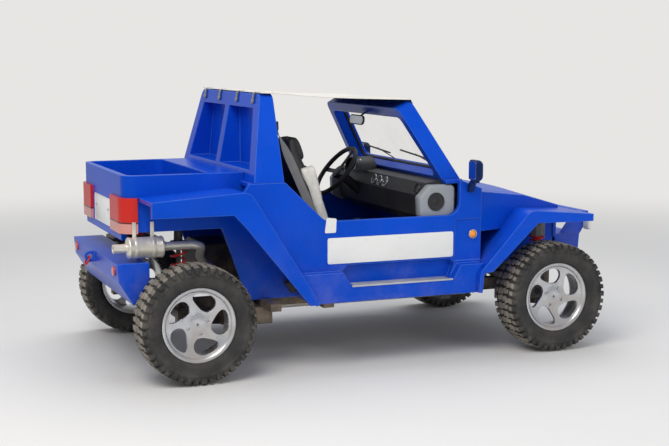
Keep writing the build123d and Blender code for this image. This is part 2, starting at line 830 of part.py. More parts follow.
console_z = tunnel_z
with BuildPart() as lever_console:
    with BuildSketch(Plane.XY.offset(console_z)):
        with Locations((0, -60)):
            Rectangle(130, 340)
    extrude(amount=50)
    chamfer(lever_console.edges().filter_by(Axis.Z), 30)
    with BuildSketch(Plane.XY.offset(console_z + 50)):
        with Locations((0, -150)):
            RegularPolygon(9, round_faces)
    extrude(amount=130)
    with BuildSketch(Plane.XY.offset(console_z + 175)):
        with Locations((0, -150)):
            RegularPolygon(24, round_faces)
    extrude(amount=40)
save(lever_console.part, "lever_console")

cushion_base = floor_z + runner_height + running_gap
cushion_outline = (
    (-235, cushion_base), (-235, 640), (190, 625), (330, 1140), (345, 1270), (430, 1270), (455, 1140),
    (330, cushion_base),
)
seat_half = 225
for name, side in sides:
    with BuildPart() as seat:
        with BuildSketch(Plane.YZ.offset(side * seat_x - seat_half)):
            with BuildLine():
                Polyline(*cushion_outline, close=True)
            make_face()
        extrude(amount=2 * seat_half)
    save(seat.part, f"seat_{name}")

# Mechanical pieces: engine block, radiator, tank, exhaust, axles and springs
with BuildPart() as engine_block:
    with BuildSketch(Plane.XY.offset(frame_top + 10)):
        with Locations((0, -930)):
            Rectangle(480, 400)
    extrude(amount=390)
    with BuildSketch(Plane.XY.offset(frame_top)):
        with Locations((-rail_x + 15, -930), (rail_x - 15, -930)):
            Rectangle(60, 90)
        with Locations((0, -930)):
            Rectangle(2 * rail_x - 20, 60)
    extrude(amount=30)
save(engine_block.part, "engine_block")

with BuildPart() as radiator:
    with BuildSketch(Plane.XY.offset(frame_top)):
        with Locations((0, cross_y[0])):
            Rectangle(440, 42)
    extrude(amount=380)
save(radiator.part, "radiator")

with BuildPart() as fuel_tank:
    with BuildSketch(Plane.XY.offset(frame_top)):
        with Locations((90, (cross_y[3] + 25 + 850) / 2)):
            Rectangle(360, 850 - cross_y[3] - 25)
    extrude(amount=250)
    chamfer(fuel_tank.edges().filter_by(Axis.X), 40)
save(fuel_tank.part, "fuel_tank")

pipe_radius = 22
can_radius = 56
can_x = -520
can_z = 690
with BuildPart() as exhaust:
    with BuildLine() as pipe_line:
        Polyline(
            (-200, -800, frame_top + 10), (-200, -800, frame_base - pipe_radius - 4),
            (-200, 620, frame_base - pipe_radius - 4), (-200, 740, 450), (-200, 880, 560),
            (can_x, 960, can_z), (can_x, 1175, can_z),
        )
    with BuildSketch(Plane(origin=pipe_line.line @ 0, z_dir=pipe_line.line % 0)):
        RegularPolygon(pipe_radius, round_faces)
    sweep(path=pipe_line.line, transition=Transition.RIGHT)
    with BuildSketch(Plane.XZ.offset(-1165)):
        with Locations((can_x, can_z)):
            RegularPolygon(can_radius, 2 * round_faces)
    extrude(amount=-195)
    with BuildSketch(Plane.XZ.offset(-1355)):
        with Locations((can_x, can_z)):
            RegularPolygon(28, round_faces)
    extrude(amount=-75)
save(exhaust.part, "exhaust")

arm_skin = 28
arm_z = 240
ball_radius = 14
rack_radius = 22
rack_z = frame_top + rack_radius * cos(pi / round_faces)
with BuildPart() as front_arms:
    for _, side in sides:
        with BuildSketch(Plane.XY.offset(arm_z)):
            with BuildLine():
                Polyline(
                    (side * 350, -axle_y - 150), (side * (kingpin_x + 10), -axle_y - 34),
                    (side * (kingpin_x + 10), -axle_y + 34), (side * 350, -axle_y + 150), (side * 350, -axle_y + 100),
                    (side * 470, -axle_y), (side * 350, -axle_y - 100), close=True,
                )
            make_face()
            with Locations((side * kingpin_x, -axle_y)):
                RegularPolygon(36, round_faces)
                RegularPolygon(ball_radius + running_gap, round_faces, major_radius=False, mode=Mode.SUBTRACT)
        extrude(amount=arm_skin)
        with BuildSketch(Plane.XY.offset(arm_z)):
            with Locations((side * 340, -axle_y - 125), (side * 340, -axle_y + 125)):
                Rectangle(36, 50)
        extrude(amount=frame_base - arm_z)
    with BuildSketch(Plane.YZ.offset(-bay_x + skin)):
        with Locations((-680, rack_z)):
            RegularPolygon(rack_radius, round_faces)
    extrude(amount=2 * (bay_x - skin))
save(front_arms.part, "front_arms")

with BuildPart() as rear_axle:
    for _, side in sides:
        with BuildSketch(side_plane(470, side)):
            with BuildLine():
                Polyline(
                    (572, 240), (572, frame_top - outrigger_height), (632, frame_top - outrigger_height), (1000, 345),
                    (1095, 345), (1095, 270), (1000, 270), (640, 240), close=True,
                )
            make_face()
        extrude(amount=outward(0, 60, side))
        with BuildSketch(Plane.XY.offset(300)):
            with Locations((side * 450, axle_y + 10)):
                Rectangle(120, 70)
        extrude(amount=40)
        with BuildSketch(side_plane(530, side)):
            with Locations((axle_y, tyre_radius)):
                RegularPolygon(spindle_radius, spindle_faces)
        extrude(amount=outward(530, wheel_x + spindle_reach, side))
    with BuildSketch(Plane.YZ.offset(-475)):
        with Locations((830, 265)):
            RegularPolygon(26, round_faces)
    extrude(amount=950)
save(rear_axle.part, "rear_axle")

spring_x = 428
spring_y = axle_y + 10
with BuildPart() as rear_springs:
    for _, side in sides:
        with BuildSketch(Plane.XY.offset(340)):
            with Locations((side * spring_x, spring_y)):
                RegularPolygon(18, round_faces)
        extrude(amount=wall_base_z - 340)
        with BuildSketch(Plane.XY.offset(400)):
            with Locations((side * spring_x, spring_y)):
                RegularPolygon(44, round_faces)
        extrude(amount=300)
save(rear_springs.part, "rear_springs")

# Front knuckles: a hub carrier with its spindle, ball pin and strut
knuckle_z = arm_z + arm_skin + 1
strut_top = turret_z - running_gap
for name, side in sides:
    with BuildPart() as knuckle:
        with BuildSketch(Plane.XY.offset(knuckle_z)):
            with Locations((side * kingpin_x, -axle_y)):
                Rectangle(50, 90)
        extrude(amount=120)
        with BuildSketch(Plane.XY.offset(arm_z)):
            with Locations((side * kingpin_x, -axle_y)):
                RegularPolygon(ball_radius, round_faces)
        extrude(amount=60)
        with BuildSketch(Plane.XY.offset(knuckle_z + 100)):
            with Locations((side * kingpin_x, -axle_y)):
                RegularPolygon(24, round_faces)
        extrude(amount=strut_top - knuckle_z - 100)
        with BuildSketch(Plane.XY.offset(636)):
            with Locations((side * kingpin_x, -axle_y)):
                RegularPolygon(46, round_faces)
        extrude(amount=90)
        with BuildSketch(side_plane(kingpin_x, side)):
            with Locations((-axle_y, tyre_radius)):
                RegularPolygon(spindle_radius, spindle_faces)
        extrude(amount=outward(kingpin_x, wheel_x + spindle_reach, side))
    save(knuckle.part, f"knuckle_{name}")

# Wheels, made once about the Z axis with the outer face up, then placed at the four corners
facet_count = 32
rim_half = rim_width / 2
bead_half = rim_half - 12
flange_root = bead_half + 2 * running_gap
rim_wall = 8
face_z = 36
face_depth = 18
hub_radius = 40
hub_depth = 34
cap_height = 12
spoke_count = 5
window_rows = (
    # radius, half angle at the window's middle, in degrees
    (76, 14),
    (98, 21),
    (148, 26),
    (165, 14),
)
window_lean = 16


def window_points(middle):
    """The corners of one window: out along one side and back along the other, leaning with the radius."""
    low = window_rows[0][0]
    high = window_rows[-1][0]
    points = []
    for hand, rows in ((-1, window_rows), (1, reversed(window_rows))):
        for radius, half in rows:
            angle = radians(middle + hand * half + window_lean * (radius - low) / (high - low))
            points.append((radius * cos(angle), radius * sin(angle)))
    return points


rim_section = (
    (rim_radius + flange_height, -rim_half), (rim_radius, -flange_root), (rim_radius, flange_root),
    (rim_radius + flange_height, rim_half), (rim_radius - rim_wall, rim_half), (rim_radius - rim_wall, -rim_half),
)
with BuildPart() as rim_form:
    add(facet_ring(rim_section, facet_count))
    with BuildSketch(Plane.XY.offset(face_z)):
        RegularPolygon(rim_radius - rim_wall / 2, facet_count, major_radius=False, rotation=180 / facet_count)
        for k in range(spoke_count):
            with BuildLine():
                Polyline(*window_points(360 / spoke_count * k), close=True)
            make_face(mode=Mode.SUBTRACT)
    extrude(amount=face_depth)
    with BuildSketch(Plane.XY.offset(-hub_depth)):
        RegularPolygon(hub_radius, spindle_faces)
    extrude(amount=hub_depth + face_z + face_depth)
    with BuildSketch(Plane.XY.offset(face_z + face_depth)):
        RegularPolygon(hub_radius - 6, spindle_faces)
    extrude(amount=cap_height, taper=30)
    with BuildSketch(Plane.XY.offset(-hub_depth)):
        RegularPolygon(spindle_radius + spindle_gap, spindle_faces, major_radius=False)
    extrude(amount=hub_depth + spindle_reach + running_gap, mode=Mode.SUBTRACT)

# The tyre's casing takes its bore from the rim; long lugs stand on its facets, left and right in turn
sidewall_half = tyre_width / 2 - 5
sidewall_radius = 246
shoulder_half = sidewall_half - 14
carcass_radius = tyre_radius - lug_height
casing_section = (
    (rim_radius + running_gap, -bead_half), (sidewall_radius, -sidewall_half), (carcass_radius, -shoulder_half),
    (carcass_radius, shoulder_half), (sidewall_radius, sidewall_half), (rim_radius + running_gap, bead_half),
)
lug_count = facet_count // 2
lug_length = 2 * carcass_radius * tan(pi / facet_count)
lug_root = 22
lug_width = tyre_width / 2 + 6
lug_rows = (
    # place across, phase in pitches
    ((lug_width - tyre_width) / 2, 0),
    ((tyre_width - lug_width) / 2, 0.5),
)
with BuildPart() as tyre_form:
    add(facet_ring(casing_section, facet_count))
    for across, phase in lug_rows:
        for k in range(lug_count):
            turn = radians(360 / lug_count * (k + phase))
            radial = Vector(cos(turn), sin(turn), 0)
            root = radial * (carcass_radius - lug_root) + Vector(0, 0, across)
            with BuildSketch(Plane(origin=root, x_dir=(0, 0, 1), z_dir=radial)):
                Rectangle(lug_width, lug_length)
            extrude(amount=lug_root + lug_height)

corners = (
    ("front_right", -1, -axle_y),
    ("front_left", 1, -axle_y),
    ("rear_right", -1, axle_y),
    ("rear_left", 1, axle_y),
)
for name, side, y in corners:
    place = Plane(origin=(side * wheel_x, y, tyre_radius), x_dir=(0, 0, 1), z_dir=(side, 0, 0))
    for kind, form in (("rim", rim_form), ("tyre", tyre_form)):
        with BuildPart() as wheel_piece:
            with Locations(place):
                add(form.part)
        save(wheel_piece.part, f"{kind}_{name}")
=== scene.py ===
import bmesh
import bpy
import json
from math import cos, exp, hypot, pi, radians, sin, sqrt, tan
from mathutils import Matrix, Vector, noise


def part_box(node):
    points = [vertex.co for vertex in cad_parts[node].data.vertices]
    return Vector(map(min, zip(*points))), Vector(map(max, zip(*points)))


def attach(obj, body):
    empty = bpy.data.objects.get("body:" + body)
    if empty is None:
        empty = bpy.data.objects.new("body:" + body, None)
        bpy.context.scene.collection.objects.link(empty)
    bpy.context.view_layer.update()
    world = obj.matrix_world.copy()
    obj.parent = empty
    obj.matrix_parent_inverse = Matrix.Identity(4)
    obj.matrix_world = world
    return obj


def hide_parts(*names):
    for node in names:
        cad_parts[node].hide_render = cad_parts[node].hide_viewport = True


# Looks for an open fun buggy, in metres. X points to the driver's left, Y to the rear, Z up.
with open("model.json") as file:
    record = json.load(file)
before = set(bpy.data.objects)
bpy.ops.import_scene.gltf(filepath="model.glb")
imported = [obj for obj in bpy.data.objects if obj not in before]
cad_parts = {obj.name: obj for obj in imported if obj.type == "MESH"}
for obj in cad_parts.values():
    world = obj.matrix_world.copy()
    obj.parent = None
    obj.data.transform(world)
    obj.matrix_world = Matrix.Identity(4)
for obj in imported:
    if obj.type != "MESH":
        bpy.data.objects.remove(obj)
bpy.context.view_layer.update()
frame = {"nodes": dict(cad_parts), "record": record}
nodes = frame["nodes"]

LEFT, RIGHT, REAR, FRONT, UP = (1, 0, 0), (-1, 0, 0), (0, 1, 0), (0, -1, 0), (0, 0, 1)
sides = (("right", -1), ("left", 1))
corners = ("front_right", "front_left", "rear_right", "rear_left")

# Colours
PAINT_BLUE = (0.0005, 0.058, 0.5)
DUST = (0.46, 0.34, 0.22)
TYRE_DUST = (0.52, 0.46, 0.37)
TYRE_BLACK = (0.023, 0.023, 0.024)
CANVAS = (0.74, 0.71, 0.64)
BLACK = (0.018, 0.018, 0.02)
NEAR_BLACK = (0.012, 0.012, 0.013)
SILVER = (0.62, 0.63, 0.65)
RED = (0.55, 0.012, 0.01)
CREAM = (0.8, 0.76, 0.66)
WHITE = (0.76, 0.76, 0.74)
PALE_STAGE = (0.8, 0.79, 0.77)


# Shader helpers
class Shader:
    """A node material built up in a few calls."""

    def __init__(self, name):
        self.mat = bpy.data.materials.new(name)
        self.mat.use_nodes = True
        self.tree = self.mat.node_tree
        self.bsdf = self.tree.nodes["Principled BSDF"]
        self.coords = self.add("TexCoord").outputs["Object"]

    def add(self, kind, inputs=None, **settings):
        """A new node; inputs gives its sockets by name or number."""
        node = self.tree.nodes.new("ShaderNode" + kind)
        for name, value in settings.items():
            setattr(node, name, value)
        for socket, value in (inputs or {}).items():
            self.feed(node.inputs[socket], value)
        return node

    def feed(self, socket, value):
        """Links a node's output to a socket, or sets a plain value on it."""
        if isinstance(value, bpy.types.NodeSocket):
            self.tree.links.new(value, socket)
        elif isinstance(value, tuple) and len(value) == 3 and socket.type == "RGBA":
            socket.default_value = (*value, 1)
        else:
            socket.default_value = value

    def set(self, **values):
        for name, value in values.items():
            self.feed(self.bsdf.inputs[name.replace("_", " ")], value)

    def noise(self, scale, detail=4, rough=0.55, stretch=None):
        coords = self.coords
        if stretch:
            coords = self.add("Mapping", {"Vector": coords, "Scale": stretch}).outputs["Vector"]
        inputs = {"Vector": coords, "Scale": scale, "Detail": detail, "Roughness": rough}
        return self.add("TexNoise", inputs).outputs["Fac"]

    def wave(self, axis, scale, profile="SIN", **inputs):
        inputs.update(Vector=self.coords, Scale=scale)
        look = {"wave_type": "BANDS", "bands_direction": axis, "wave_profile": profile}
        return self.add("TexWave", inputs, **look).outputs["Fac"]

    def ramp(self, value, low, high, out_low=0.0, out_high=1.0):
        inputs = {"Value": value, "From Min": low, "From Max": high, "To Min": out_low, "To Max": out_high}
        return self.add("MapRange", inputs, interpolation_type="SMOOTHSTEP").outputs["Result"]

    def math(self, operation, a, b=0.0):
        return self.add("Math", {0: a, 1: b}, operation=operation).outputs[0]

    def plus(self, a, b):
        return self.math("ADD", a, b)

    def times(self, a, b):
        return self.math("MULTIPLY", a, b)

    def mix(self, factor, a, b):
        return self.add("Mix", {"Factor": factor, 6: a, 7: b}, data_type="RGBA").outputs[2]

    def patchy(self, colour, other, scale, detail, low=0.3, high=0.7):
        """Soft patches of another colour."""
        return self.mix(self.ramp(self.noise(scale, detail), low, high), colour, other)

    def height(self):
        return self.add("SeparateXYZ", {0: self.coords}).outputs["Z"]

    def edges(self, radius):
        """Near one along sharp edges, and the softened normal there."""
        soft = self.add("Bevel", {"Radius": radius}, samples=6).outputs["Normal"]
        flat = self.add("NewGeometry").outputs["Normal"]
        dot = self.add("VectorMath", {0: soft, 1: flat}, operation="DOT_PRODUCT").outputs["Value"]
        return self.ramp(dot, 0.99, 0.8), soft

    def bump(self, value, strength, distance=0.001, normal=None):
        node = self.add("Bump", {"Strength": strength, "Distance": distance, "Height": value})
        if normal is not None:
            self.feed(node.inputs["Normal"], normal)
        self.feed(self.bsdf.inputs["Normal"], node.outputs["Normal"])

    def dusty(self, colour, amount):
        """Mixes a colour towards dust, most of it low down. Returns the colour and the mask."""
        lower = self.ramp(self.height(), 0.85, 0.3)
        patches = self.ramp(self.noise(3.5, 6, 0.62), 0.38, 0.74)
        fine = self.ramp(self.noise(42, 5, 0.6), 0.35, 0.75)
        mask = self.times(self.plus(self.times(lower, 0.9), 0.06), patches)
        mask = self.times(self.plus(mask, self.times(fine, 0.05)), amount)
        mask = self.math("MINIMUM", mask, 0.85)
        return self.mix(mask, colour, DUST), mask


def lighter(colour, share, lift=0.0, most=0.05):
    """A colour made lighter by a share and a lift, pale colours by at most this much."""
    return tuple(min(1, c + min(c * share + lift, most)) for c in colour)


def scaled(colour, factor, lift=0.0):
    return tuple(min(1, c * factor + lift) for c in colour)


def paint(name, colour, dust=0.16, rough=0.24, edge=0.01, gloss=(0.3, 0.6, 1.0)):
    """Gloss paint; gloss tints what it mirrors, as the open sky does on the photograph's blue. Along sharp
    edges the colour is lighter and tinted by gloss: a painted highlight.
    """
    s = Shader(name)
    edge_wear_and_highlight, soft = s.edges(edge)
    tone = s.patchy(colour, lighter(colour, 0.18, 0.001, 0.09), 1.6, 3)
    # Painted highlight: sharp edges get a colour lifted towards the gloss tint, as if lit along their
    # rounding
    edge_highlight_tone = tuple(min(c + 0.22 * g, 0.85) for c, g in zip(colour, gloss))
    tone, dirt = s.dusty(s.mix(s.times(edge_wear_and_highlight, 0.85), tone, edge_highlight_tone), dust)
    scratches = s.ramp(s.noise(60, 6, 0.7, stretch=(1, 0.12, 1)), 0.52, 0.6)
    s.set(Base_Color=tone, IOR=1.45, Specular_IOR_Level=0.26, Specular_Tint=gloss)
    s.set(Roughness=s.plus(s.plus(s.times(dirt, 0.5), rough), s.times(scratches, 0.02)))
    s.set(Coat_Weight=0.05, Coat_Roughness=0.08)
    s.bump(s.noise(240, 3), 0.02, 0.0006, soft)
    return s.mat


def plastic(name, colour, rough=0.5, grain=900, depth=0.25, dust=0.25, edge=0.002):
    s = Shader(name)
    edge_wear_and_highlight, soft = s.edges(edge)
    tone = s.patchy(colour, lighter(colour, 0.5, 0.006, 0.03), 5, 4)
    tone = s.mix(s.times(edge_wear_and_highlight, 0.35), tone, lighter(colour, 0.8, 0.03, 0.12))
    tone, dirt = s.dusty(tone, dust)
    s.set(Base_Color=tone, Roughness=s.plus(s.times(dirt, 0.3), rough), IOR=1.46)
    s.bump(s.noise(grain, 2), depth, 0.0004, soft)
    return s.mat


def metal(name, colour, rough=0.32, dust=0.2, metallic=1.0):
    s = Shader(name)
    edge_wear_and_highlight, soft = s.edges(0.002)
    tone = s.patchy(colour, scaled(colour, 0.82), 9, 5, low=0.35)
    tone = s.mix(s.times(edge_wear_and_highlight, 0.4), tone, scaled(colour, 1.25, 0.03))
    tone, dirt = s.dusty(tone, dust)
    uneven = s.ramp(s.noise(30, 4), 0.3, 0.7, rough * 0.85, rough * 1.2)
    s.set(Base_Color=tone, Metallic=s.math("SUBTRACT", metallic, s.times(dirt, 0.9)))
    s.set(Roughness=s.plus(uneven, s.times(dirt, 0.4)))
    s.bump(s.noise(400, 3), 0.1, 0.0004, soft)
    return s.mat


def rubber(name, colour):
    """Tyre rubber about the X axis: pale dust on the tread's tops, a thin film on the walls, dark hollows."""
    s = Shader(name)
    patches = s.ramp(s.noise(9, 6, 0.65), 0.36, 0.7)
    fine = s.ramp(s.noise(150, 4, 0.7), 0.4, 0.72)
    off_axis = s.add("VectorMath", {0: s.coords, 1: (0, 1, 1)}, operation="MULTIPLY").outputs[0]
    radius = s.add("VectorMath", {0: off_axis}, operation="LENGTH").outputs["Value"]
    tops = s.ramp(radius, 0.2995, 0.3045)
    shoulder = s.ramp(radius, 0.225, 0.3)
    film = s.plus(s.times(patches, 0.07), s.times(fine, 0.03))
    film = s.plus(film, s.times(shoulder, s.times(patches, 0.1)))
    tread = s.times(tops, s.plus(s.times(patches, 0.45), s.plus(s.times(fine, 0.15), 0.35)))
    mask = s.math("MINIMUM", s.times(s.math("MAXIMUM", film, tread), 0.8), 0.9)
    s.set(Base_Color=s.mix(mask, colour, TYRE_DUST), Roughness=0.78, IOR=1.45)
    s.bump(s.noise(500, 4), 0.35, 0.0006)
    return s.mat


def woven(name, colour, dust, thread=0.0011):
    """Cloth with a plain weave that doesn't depend on an unwrap."""
    s = Shader(name)
    weave = s.times(*(s.wave(axis, 1 / (thread * 20), Distortion=0.6, Detail=1) for axis in "XY"))
    tone = s.patchy(colour, scaled(colour, 0.8), 3.2, 5, high=0.72)
    tone = s.mix(s.times(weave, 0.25), tone, scaled(colour, 1.25, 0.01))
    s.set(Base_Color=s.dusty(tone, dust)[0], Roughness=0.85, Sheen_Weight=0.25, Sheen_Roughness=0.5)
    s.bump(s.plus(weave, s.times(s.noise(26, 4), 0.8)), 0.35, 0.0008)
    return s.mat


def clear(name, colour, rough, alpha):
    """Thin glass: mostly see-through with a gloss, and a little dust."""
    s = Shader(name)
    smear = s.ramp(s.noise(5, 6, 0.6), 0.35, 0.8)
    smeared = tuple(0.7 * c + 0.3 * d for c, d in zip(colour, DUST))
    s.set(Base_Color=s.mix(smear, colour, smeared), Roughness=s.ramp(smear, 0, 1, rough, rough + 0.1))
    s.set(IOR=1.45, Specular_IOR_Level=0.6, Alpha=s.ramp(smear, 0, 1, alpha * 0.75, alpha * 1.35))
    s.mat.blend_method = "BLEND"
    return s.mat


def lens(name, colour, rough=0.08):
    """Coloured lamp plastic with a moulded prism pattern."""
    s = Shader(name)
    tone, dirt = s.dusty(s.patchy(colour, scaled(colour, 1.3, 0.02), 20, 3), 0.25)
    s.set(Base_Color=tone, Roughness=s.plus(s.times(dirt, 0.4), rough), IOR=1.49)
    s.set(Coat_Weight=0.8, Coat_Roughness=0.05)
    s.bump(s.wave("X", 60, "SAW"), 0.25, 0.0008)
    return s.mat


def two_tone_lens(name, upper, lower, split):
    """Tail lamp plastic: one colour above a height, another below it, and a dark line between them."""
    s = Shader(name)
    z = s.height()
    prisms = s.wave("Z", 32, "SAW")
    tone = s.mix(s.ramp(z, split - 0.0005, split + 0.0005), lower, upper)
    line = s.ramp(s.math("ABSOLUTE", s.math("SUBTRACT", z, split)), 0.004, 0.003)
    tone = s.mix(line, tone, (0.02, 0.02, 0.02))
    tone, dirt = s.dusty(s.mix(s.times(prisms, 0.1), tone, (0.85, 0.16, 0.12)), 0.25)
    s.set(Base_Color=tone, Roughness=s.plus(s.times(dirt, 0.4), 0.22), IOR=1.45, Specular_IOR_Level=0.3)
    s.bump(prisms, 0.25, 0.0008)
    return s.mat


def vinyl(name, colour, dust=0.18):
    """Seat cover with a leather-like grain and soft creases."""
    s = Shader(name)
    cells = s.add("TexVoronoi", {"Vector": s.coords, "Scale": 330}, feature="DISTANCE_TO_EDGE")
    grain = s.ramp(cells.outputs["Distance"], 0.0, 0.12)
    creases = s.noise(24, 5, 0.6)
    tone = s.mix(s.ramp(creases, 0.3, 0.7), colour, scaled(colour, 1.22, 0.004))
    tone = s.mix(s.times(s.math("SUBTRACT", 1.0, grain), 0.25), tone, scaled(colour, 0.75))
    tone, dirt = s.dusty(tone, dust)
    uneven = s.ramp(s.noise(7, 4), 0.3, 0.7, 0.42 * 0.85, 0.42 * 1.25)
    s.set(Base_Color=tone, Roughness=s.plus(uneven, s.times(dirt, 0.3)))
    s.set(IOR=1.47, Sheen_Weight=0.08, Sheen_Roughness=0.4)
    s.bump(s.plus(grain, s.times(creases, 1.6)), 0.3, 0.0007)
    return s.mat


def finned(name, colour):
    """The front of a cooler: fine upright fins between flat tubes, with painted shade, near black, in the
    gaps between them.
    """
    s = Shader(name)
    fins = s.math("MAXIMUM", s.times(s.wave("X", 90), 0.6), s.ramp(s.wave("Z", 26), 0.75, 0.95))
    # The gaps between fins and tubes are near black: painted shade in the recesses
    s.set(Base_Color=s.dusty(s.mix(fins, NEAR_BLACK, colour), 0.5)[0], Metallic=0.4, Roughness=0.5)
    s.bump(fins, 0.6, 0.003)
    return s.mat


FRAME_PAINT = plastic("frame_paint", BLACK, rough=0.45, grain=300, dust=0.75)
TRIM = plastic("dark_trim_skin", (0.022, 0.022, 0.024), rough=0.48)
SOFT_BLACK = plastic("soft_black_skin", (0.014, 0.014, 0.015), rough=0.55, grain=1400, depth=0.35, dust=0.12)
GREY = plastic("pod_grey_skin", (0.27, 0.29, 0.31), rough=0.55, dust=0.2)
PANEL_WHITE = plastic("sign_white_sheet", WHITE, rough=0.35, grain=60, depth=0.04, dust=0.16, edge=0.001)
BAR_PALE = plastic("bar_lamp_pale", (0.66, 0.66, 0.64), rough=0.3, grain=80, depth=0.05, dust=0.3)
DIAL = plastic("dial_face", NEAR_BLACK, rough=0.25, dust=0.0)
MARKS = plastic("dial_marks", (0.8, 0.8, 0.78), dust=0.0)
CLOTH = woven("canopy_weave", CANVAS, dust=0.1)
# A near-black cloth for the canopy's underside: painted shade under the canopy
CLOTH_UNDER_SHADE = woven("canopy_underside_shade", (0.03, 0.03, 0.034), dust=0.0)
BELT_WEB = woven("belt_webbing", (0.16, 0.16, 0.165), dust=0.2, thread=0.0012)
SEAT_DARK = vinyl("seat_dark_vinyl", (0.017, 0.017, 0.02))
# Pale vinyl for the back's side bolsters: painted sunlight, the lit faces of the bolsters put into the colour
SEAT_PAINTED_SUNLIT = vinyl("seat_vinyl_painted_sunlight", (0.6, 0.58, 0.53), dust=0.3)
PLAIN = metal("plain_alloy", (0.42, 0.43, 0.44), rough=0.42, dust=0.45)
PLAIN_BRIGHT = metal("tread_alloy", (0.7, 0.71, 0.72), rough=0.34, dust=0.3)
STEEL = metal("exhaust_steel", CREAM, rough=0.34, dust=0.22, metallic=0.6)
ALLOY = metal("wheel_silver_alloy", SILVER, rough=0.26, dust=0.35)
CHROME = metal("lamp_chrome", (0.72, 0.73, 0.74), rough=0.12, dust=0.15)
MIRROR = metal("mirror_silvering", (0.62, 0.64, 0.66), rough=0.04, dust=0.05)
SPRING = paint("spring_red_paint", RED, dust=0.3, edge=0.002, gloss=(1.0, 0.6, 0.55))
MIRROR_SHELL = paint("mirror_shell_paint", (0.004, 0.014, 0.075), dust=0.1, edge=0.003)
TYRE = rubber("tyre_dusty_rubber", TYRE_BLACK)
LENS_RED = lens("lens_red", (0.5, 0.01, 0.008))
LENS_AMBER = lens("lens_amber", (0.8, 0.26, 0.02))
LAMP_GLASS = clear("lamp_glass", (0.85, 0.88, 0.9), rough=0.04, alpha=0.22)

slot_looks = {
    "body_blue": paint("body_paint", PAINT_BLUE),
    "bumper_blue": paint("bumper_paint", PAINT_BLUE, dust=0.32, rough=0.3),
    "frame_black": FRAME_PAINT,
    "floor_black": plastic("floor_mat", (0.03, 0.03, 0.03), rough=0.8, grain=500, depth=0.5, dust=0.8),
    "clear_glass": clear("windscreen_pane", (0.4, 0.46, 0.48), rough=0.02, alpha=0.05),
    "canopy_cloth": CLOTH,
    "lamp_clear": lens("lens_clear", (0.72, 0.74, 0.76), rough=0.05),
    "lamp_red": LENS_RED,
    "lamp_amber": LENS_AMBER,
    "dark_trim": TRIM,
    "soft_black": SOFT_BLACK,
    "pod_grey": GREY,
    "seat_cloth": woven("seat_weave", (0.018, 0.018, 0.021), dust=0.25, thread=0.0016),
    "cast_metal": metal("cast_iron_rough", (0.2, 0.2, 0.2), rough=0.6, dust=0.7, metallic=0.6),
    "plain_metal": PLAIN,
    "exhaust_metal": STEEL,
    "spring_red": SPRING,
    "wheel_silver": ALLOY,
    "tyre_rubber": TYRE,
}
node_looks = {
    "tail_lamps": two_tone_lens("lens_tail", (0.58, 0.014, 0.01), (0.66, 0.3, 0.26), split=0.815),
    "radiator": finned("cooler_fins", (0.16, 0.17, 0.17)),
}
for part in frame["record"]["subparts"]:
    look = node_looks.get(part["node"], slot_looks[part["material_slot"]])
    for material_slot in nodes[part["node"]].material_slots:
        material_slot.material = look


# Outline and placing helpers
def turns(count):
    return [2 * pi * k / count for k in range(count)]


def each(value, count):
    """One value for each of count, from a list of them or from one number for all."""
    return value if hasattr(value, "__len__") else [value] * count


def placed(origin, x_axis, y_axis):
    """A matrix with these two axes, at a point."""
    x = Vector(x_axis).normalized()
    z = x.cross(Vector(y_axis)).normalized()
    y = z.cross(x)
    return Matrix((*zip(x, y, z, origin), (0, 0, 0, 1)))


def out_from(side, x, y, z):
    """A place on one side of the car whose X axis points out, for what is turned about it."""
    return placed((side * x, y, z), (side, 0, 0), UP)


def flat_on(side, x, y, z):
    """A place on one side of the car whose Z axis points out, for a flat outline laid on it."""
    return placed((side * x, y, z), (0, side, 0), UP)


def raised(place, x, y, z):
    return place @ Matrix.Translation((x, y, z))


def rounded(points, radius, steps=5):
    """A closed outline with each corner rounded; radius is one number or one for each corner."""
    made = []
    for k, (point, round_off) in enumerate(zip(points, each(radius, len(points)))):
        corner = Vector(point)
        before = (Vector(points[k - 1]) - corner).normalized()
        after = (Vector(points[(k + 1) % len(points)]) - corner).normalized()
        half = before.angle(after) / 2
        reach = round_off / tan(half)
        centre = corner + (before + after).normalized() * (round_off / sin(half))
        start, end = corner + before * reach - centre, corner + after * reach - centre
        for i in range(steps + 1):
            made.append(centre + start.slerp(end, i / steps).normalized() * round_off)
    return made


def box_outline(width, height, radius, steps=5):
    x, y = width / 2, height / 2
    return rounded([(x, y), (-x, y), (-x, -y), (x, -y)], radius, steps)


def bent_path(points, radius, steps=6):
    """A line through points whose inner corners are rounded."""
    points = [Vector(p) for p in points]
    made = [points[0]]
    for before, corner, after in zip(points, points[1:], points[2:]):
        reach = min(radius, 0.45 * (before - corner).length, 0.45 * (after - corner).length)
        start = corner + (before - corner).normalized() * reach
        end = corner + (after - corner).normalized() * reach
        for i in range(steps + 1):
            t = i / steps
            made.append(start * (1 - t) ** 2 + corner * 2 * t * (1 - t) + end * t**2)
    return made + [points[-1]]


# Mesh helpers
def in_scene(name, data):
    made = bpy.data.objects.new(name, data)
    bpy.context.scene.collection.objects.link(made)
    return made


def add_piece(name, mesh, body, slot, *replaced):
    piece = in_scene(name, mesh)
    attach(piece, body)
    if replaced:
        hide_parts(*replaced)
    return piece


def evaluated(source):
    """The mesh of a working object as its modifiers leave it; the object itself is deleted."""
    graph = bpy.context.evaluated_depsgraph_get()
    made = bpy.data.meshes.new_from_object(source.evaluated_get(graph))
    bpy.data.objects.remove(source)
    return made


def baked(name, mesh, *modifiers):
    """The mesh after modifiers, each (type, settings)."""
    source = in_scene(name, mesh)
    for kind, settings in modifiers:
        modifier = source.modifiers.new(kind.lower(), kind)
        for key, value in settings.items():
            setattr(modifier, key, value)
    return evaluated(source)


